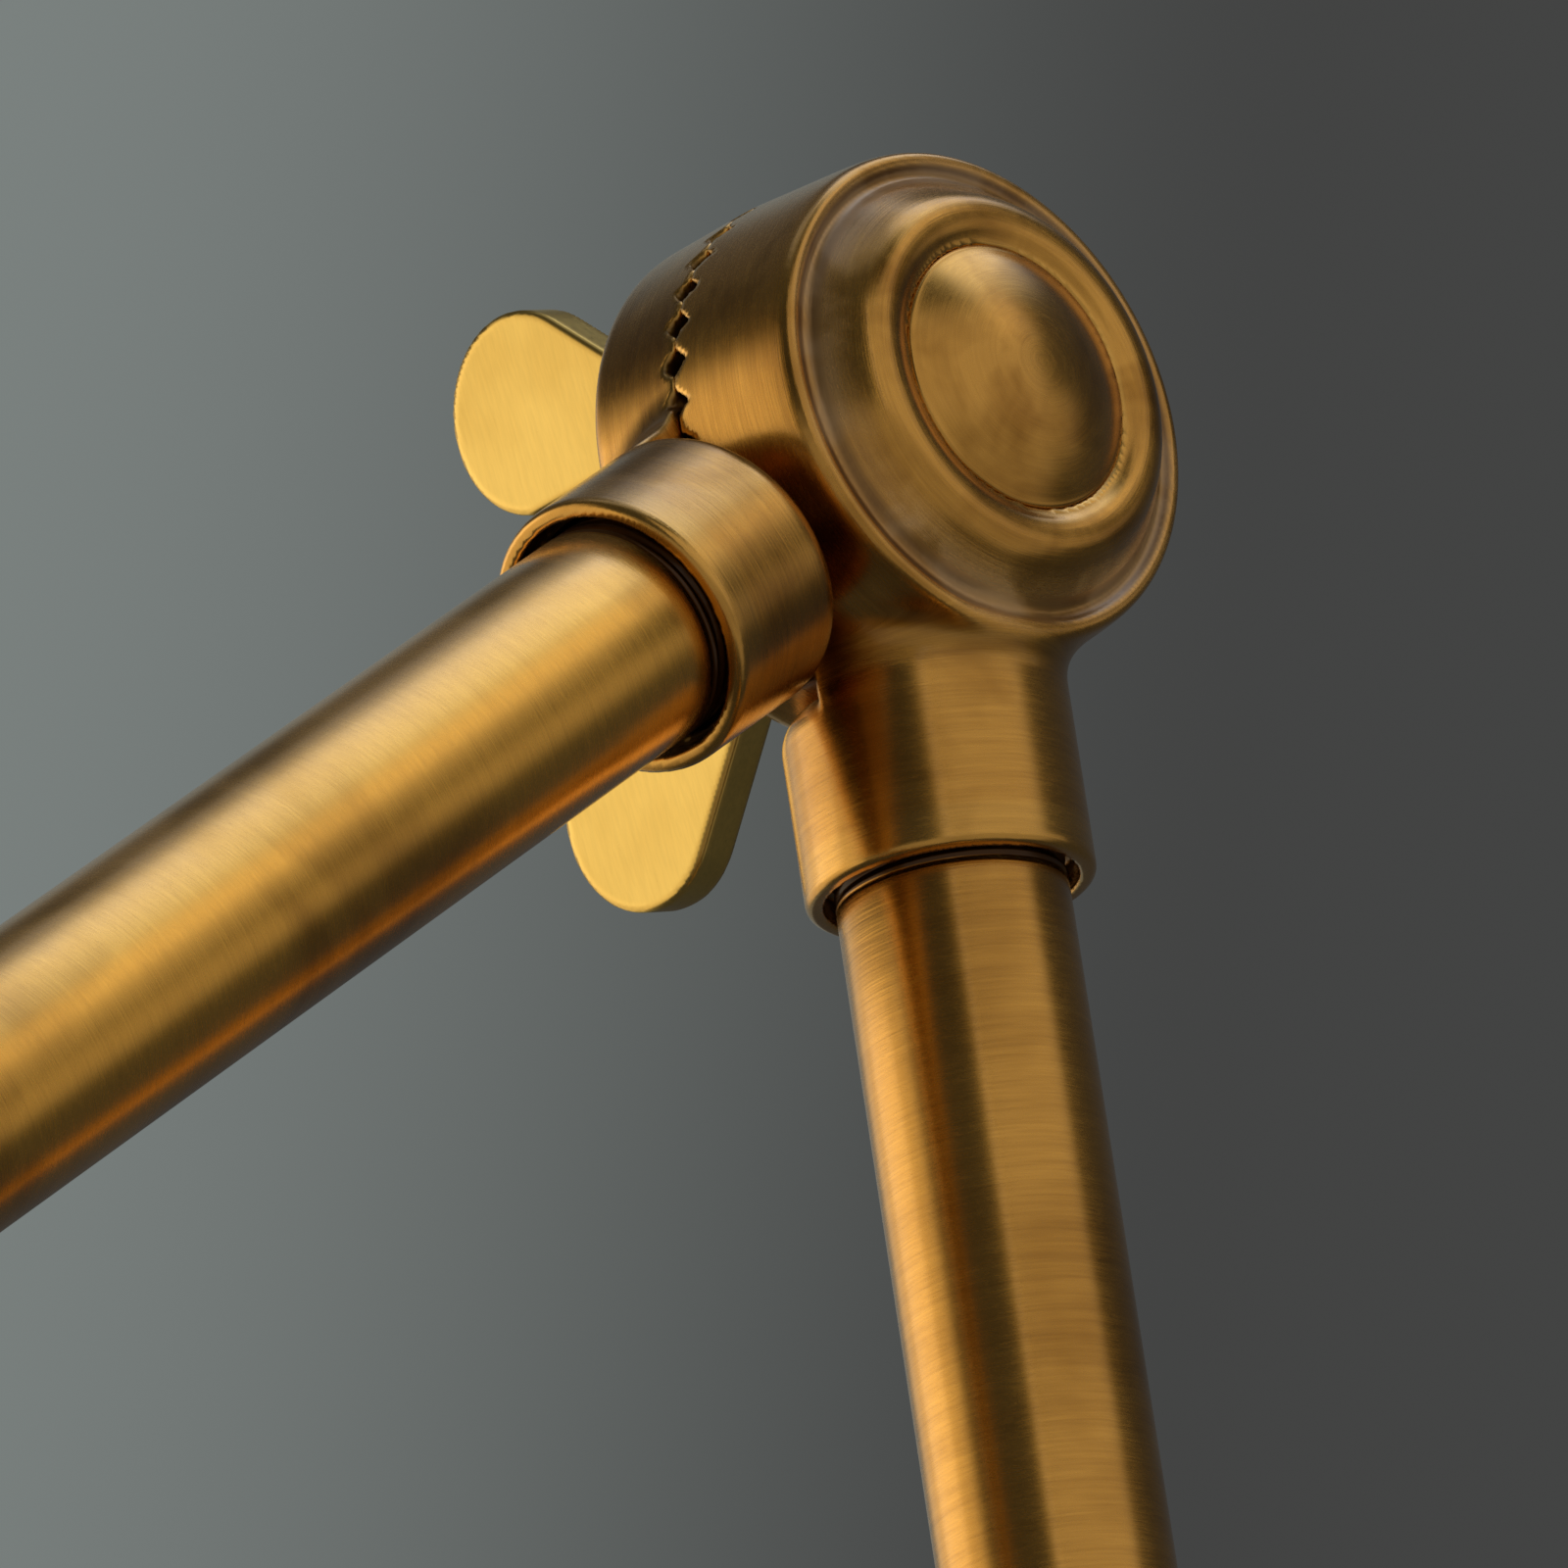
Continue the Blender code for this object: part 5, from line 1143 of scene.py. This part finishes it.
SHADE_RADIUS = 80.0
SHADE_END = 172.0
SHADE_WALL = 1.0
SHADE_RIM = 1.6
BULB_RADIUS = 30.0
BULB_CENTRE = 133.0
BULB_WALL = 0.8
CAP_RADIUS = 13.4
CAP_THREAD_PITCH = 3.6
CAP_THREAD_DEPTH = 0.75
CAP_THREAD_LOW = 81.5
CAP_THREAD_HIGH = 97.5
RING_RADIUS = 24.0
RING_LOW, RING_HIGH = 93.9, 98.9
RING_RIBS = 60
RIB_DEPTH = 0.25
KNOB_FLUTES = 12
KNOB_RADIUS = 7.0
FLUTE_DEPTH = 0.75
GLASS = (0.97, 0.985, 0.98)
PORCELAIN = (0.80, 0.78, 0.73)
PORCELAIN_CREAM = (0.76, 0.72, 0.64)
NICKEL = (0.62, 0.60, 0.56)
TUNGSTEN = (0.30, 0.28, 0.26)
HANG = stem_axis(DOWN)


def clear_glass(name):
    """Blown clear glass with a faint ripple."""
    return mottled(name, GLASS, 0, 0.02, grain=(55, 2), bump=(0.05, 0.0004),
                   extra={"Transmission Weight": 1.0, "IOR": 1.47})


cup_outline = rounded([
    (8.3, 46.0, 0.2), (11.3, 46.0, 0.6), (11.8, 49.6, 1.6), (15.5, 51.0, 2.0), (20.9, 52.0, 3.6),
    (21.0, 58.5, 0.8), (21.0, 86.0, 0.3), (21.7, 87.0, 0.5), (21.7, 88.6, 0.5), (21.0, 89.4, 0.4),
    (21.0, 92.3, 0.3), (19.5, 92.3, 0.2), (19.5, 58.0, 3.0), (17.0, 52.5, 2.0), (8.3, 52.5, 0.2)], 6)
brass_turning("holder_cup", "spun_holder_cup", ("spun_brass_cup", 359), "head",
              held(cup_outline, 6), HEAD, HANG, 144, 0.8)

holder_outline = between_centres(rounded([
    (0, 74.0, 0), (13.7, 74.0, 0.4), (13.7, 100.0, 0.8), (19.2, 100.0, 1.4), (19.2, 61.0, 0.8),
    (0, 61.0, 0)], 6)[5:-5])
porcelain = mottled("glazed_porcelain", PORCELAIN, 0, 0.16, (60, 3),
                    ((0.35, PORCELAIN_CREAM), (0.65, PORCELAIN)), (900, 2), (0.08, 0.0001),
                    extra={"Coat Weight": 0.5, "Coat Roughness": 0.08})
finished(turned("glazed_lamp_holder", held(holder_outline, 5, closed=False), HEAD, HANG, 128, 0.8), "head",
         "porcelain", porcelain, "lamp_holder")


def cap_thread(radius, height, angle):
    """Rolled thread of a bulb's cap: the wall follows a cosine of the height less one pitch a turn."""
    wave = 0.5 - 0.5 * np.cos(2 * math.pi * (height / CAP_THREAD_PITCH - angle / (2 * math.pi)))
    ease = np.clip((height - CAP_THREAD_LOW) / 2, 0, 1) * np.clip((CAP_THREAD_HIGH - height) / 2, 0, 1)
    return np.where(radius > 12.0, radius - CAP_THREAD_DEPTH * wave * ease, radius), height


cap_heights = np.linspace(81.2, 98.8, 50)
cap_inner = np.stack([np.full(50, CAP_RADIUS - 0.95), cap_heights + 0.2], 1)[1:-1]
cap_outer = np.stack([np.full(50, CAP_RADIUS), cap_heights], 1)[::-1]
cap_outline = np.concatenate([[(4.4, 77.1), (4.4, 77.7), (12.2, 81.9)], cap_inner,
                              [(12.5, 99.0), (CAP_RADIUS, 99.0)], cap_outer, [(13.0, 80.6)]])
finished(turned("rolled_bulb_cap", cap_outline, HEAD, HANG, 96, 0.5, 0.1, cap_thread), "head", "steel",
         plain_metal("nickel_plate", NICKEL, 0.28), "bulb_cap")

throat = math.degrees(math.acos(15.2 / BULB_RADIUS))
globe = arc_points((0, BULB_CENTRE), BULB_RADIUS, -throat, 90, 40)
inner_globe = arc_points((0, BULB_CENTRE), BULB_RADIUS - BULB_WALL, -throat, 90, 40)[::-1]
bulb_outline = between_centres(
    inner_globe, [(12.25, 105.3), (11.65, 102.0), (11.6, 99.0), (11.6, 90.2)],
    [(12.4, 90.2), (12.4, 99.0), (12.45, 102.0), (13.0, 105.0)], globe)
finished(turned("blown_bulb_glass", bulb_outline, HEAD, HANG, 128, 0.4, 0.2), "head", "clear_glass",
         clear_glass("bulb_glass_clear"), "bulb_glass")
dress(clear_glass("mount_glass_clear"), "bulb_stem")
dress(plain_metal("tungsten_wire", TUNGSTEN, 0.4), "bulb_filament")
dress(steel_finish, "stem_nut", "holder_contact", "bulb_tip", "switch_shaft")

shade_line = rounded([(19.6, 92.6, 0), (27.0, 92.6, 4.5), (43.5, 96.5, 13.0), (54.0, 116.0, 17.0),
                      (SHADE_RADIUS, SHADE_END, 0)], 14)
shade_line = held(shade_line[13:-13], 5, 0.6, closed=False)
rim = arc_points((SHADE_RADIUS + 0.3, SHADE_END + 0.2), SHADE_RIM, 205, -95, 20)
shade_outline = np.concatenate([shade_line + SHADE_WALL * line_normals(shade_line), rim, shade_line[::-1]])
brass_turning("shade", "spun_shade", ("spun_brass_shade", 401, 0.9, 0.04), "head",
              shade_outline, HEAD, HANG, 256, 0.7, 0.25)


def milled(radius, height, angle):
    """Straight milling round a ring: a shallow cosine wave of the angle on its outer wall."""
    ribbed = radius - RIB_DEPTH + RIB_DEPTH * np.cos(RING_RIBS * angle)
    return np.where(radius > 23.0, ribbed, radius), height


ring_outline = held(rounded([(19.6, RING_LOW, 0.3), (RING_RADIUS, RING_LOW, 0.6),
                             (RING_RADIUS, RING_HIGH, 0.6), (19.6, RING_HIGH, 0.5)], 5), 2)
brass_turning("shade_ring", "milled_shade_ring", ("turned_brass_shade_ring", 419), "head",
              ring_outline, HEAD, HANG, 360, 0.6, shape=milled)


def fluted(radius, height, angle):
    """Rounded flutes down a knob: the wall falls by a sharpened cosine of the angle, and not at all
    near the middle of its end faces."""
    wave = np.abs(np.cos(KNOB_FLUTES * angle / 2)) ** 1.5
    share = np.clip((radius - 3.5) / 3.0, 0, 1)
    return radius - FLUTE_DEPTH * (1 - wave) * share, height


knob_outline = rounded([(0, 35.9, 0), (3.6, 36.0, 1.0), (6.3, 35.2, 1.6), (KNOB_RADIUS, 33.0, 1.6),
                        (KNOB_RADIUS, 24.2, 0.6), (6.2, 24.0, 0.3), (2.8, 24.0, 0.1), (2.8, 34.0, 0.1),
                        (0, 34.0, 0)], 6)[5:-5]
knob_outline = between_centres(held(knob_outline, 3, closed=False))
knob_low, knob_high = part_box("switch_knob")
knob_place = (HEAD.x, HEAD.y, (knob_low.z + knob_high.z) / 2)
knob_axes = axis_frame((1, 0, 0), (0, 0, 1))
finished(turned("fluted_switch_knob", knob_outline, knob_place, knob_axes, 144, 0.6, shape=fluted), "switch",
         "black_plastic", moulded_plastic("black_knob_plastic", (0.020, 0.019, 0.018), 0.3), "switch_knob")
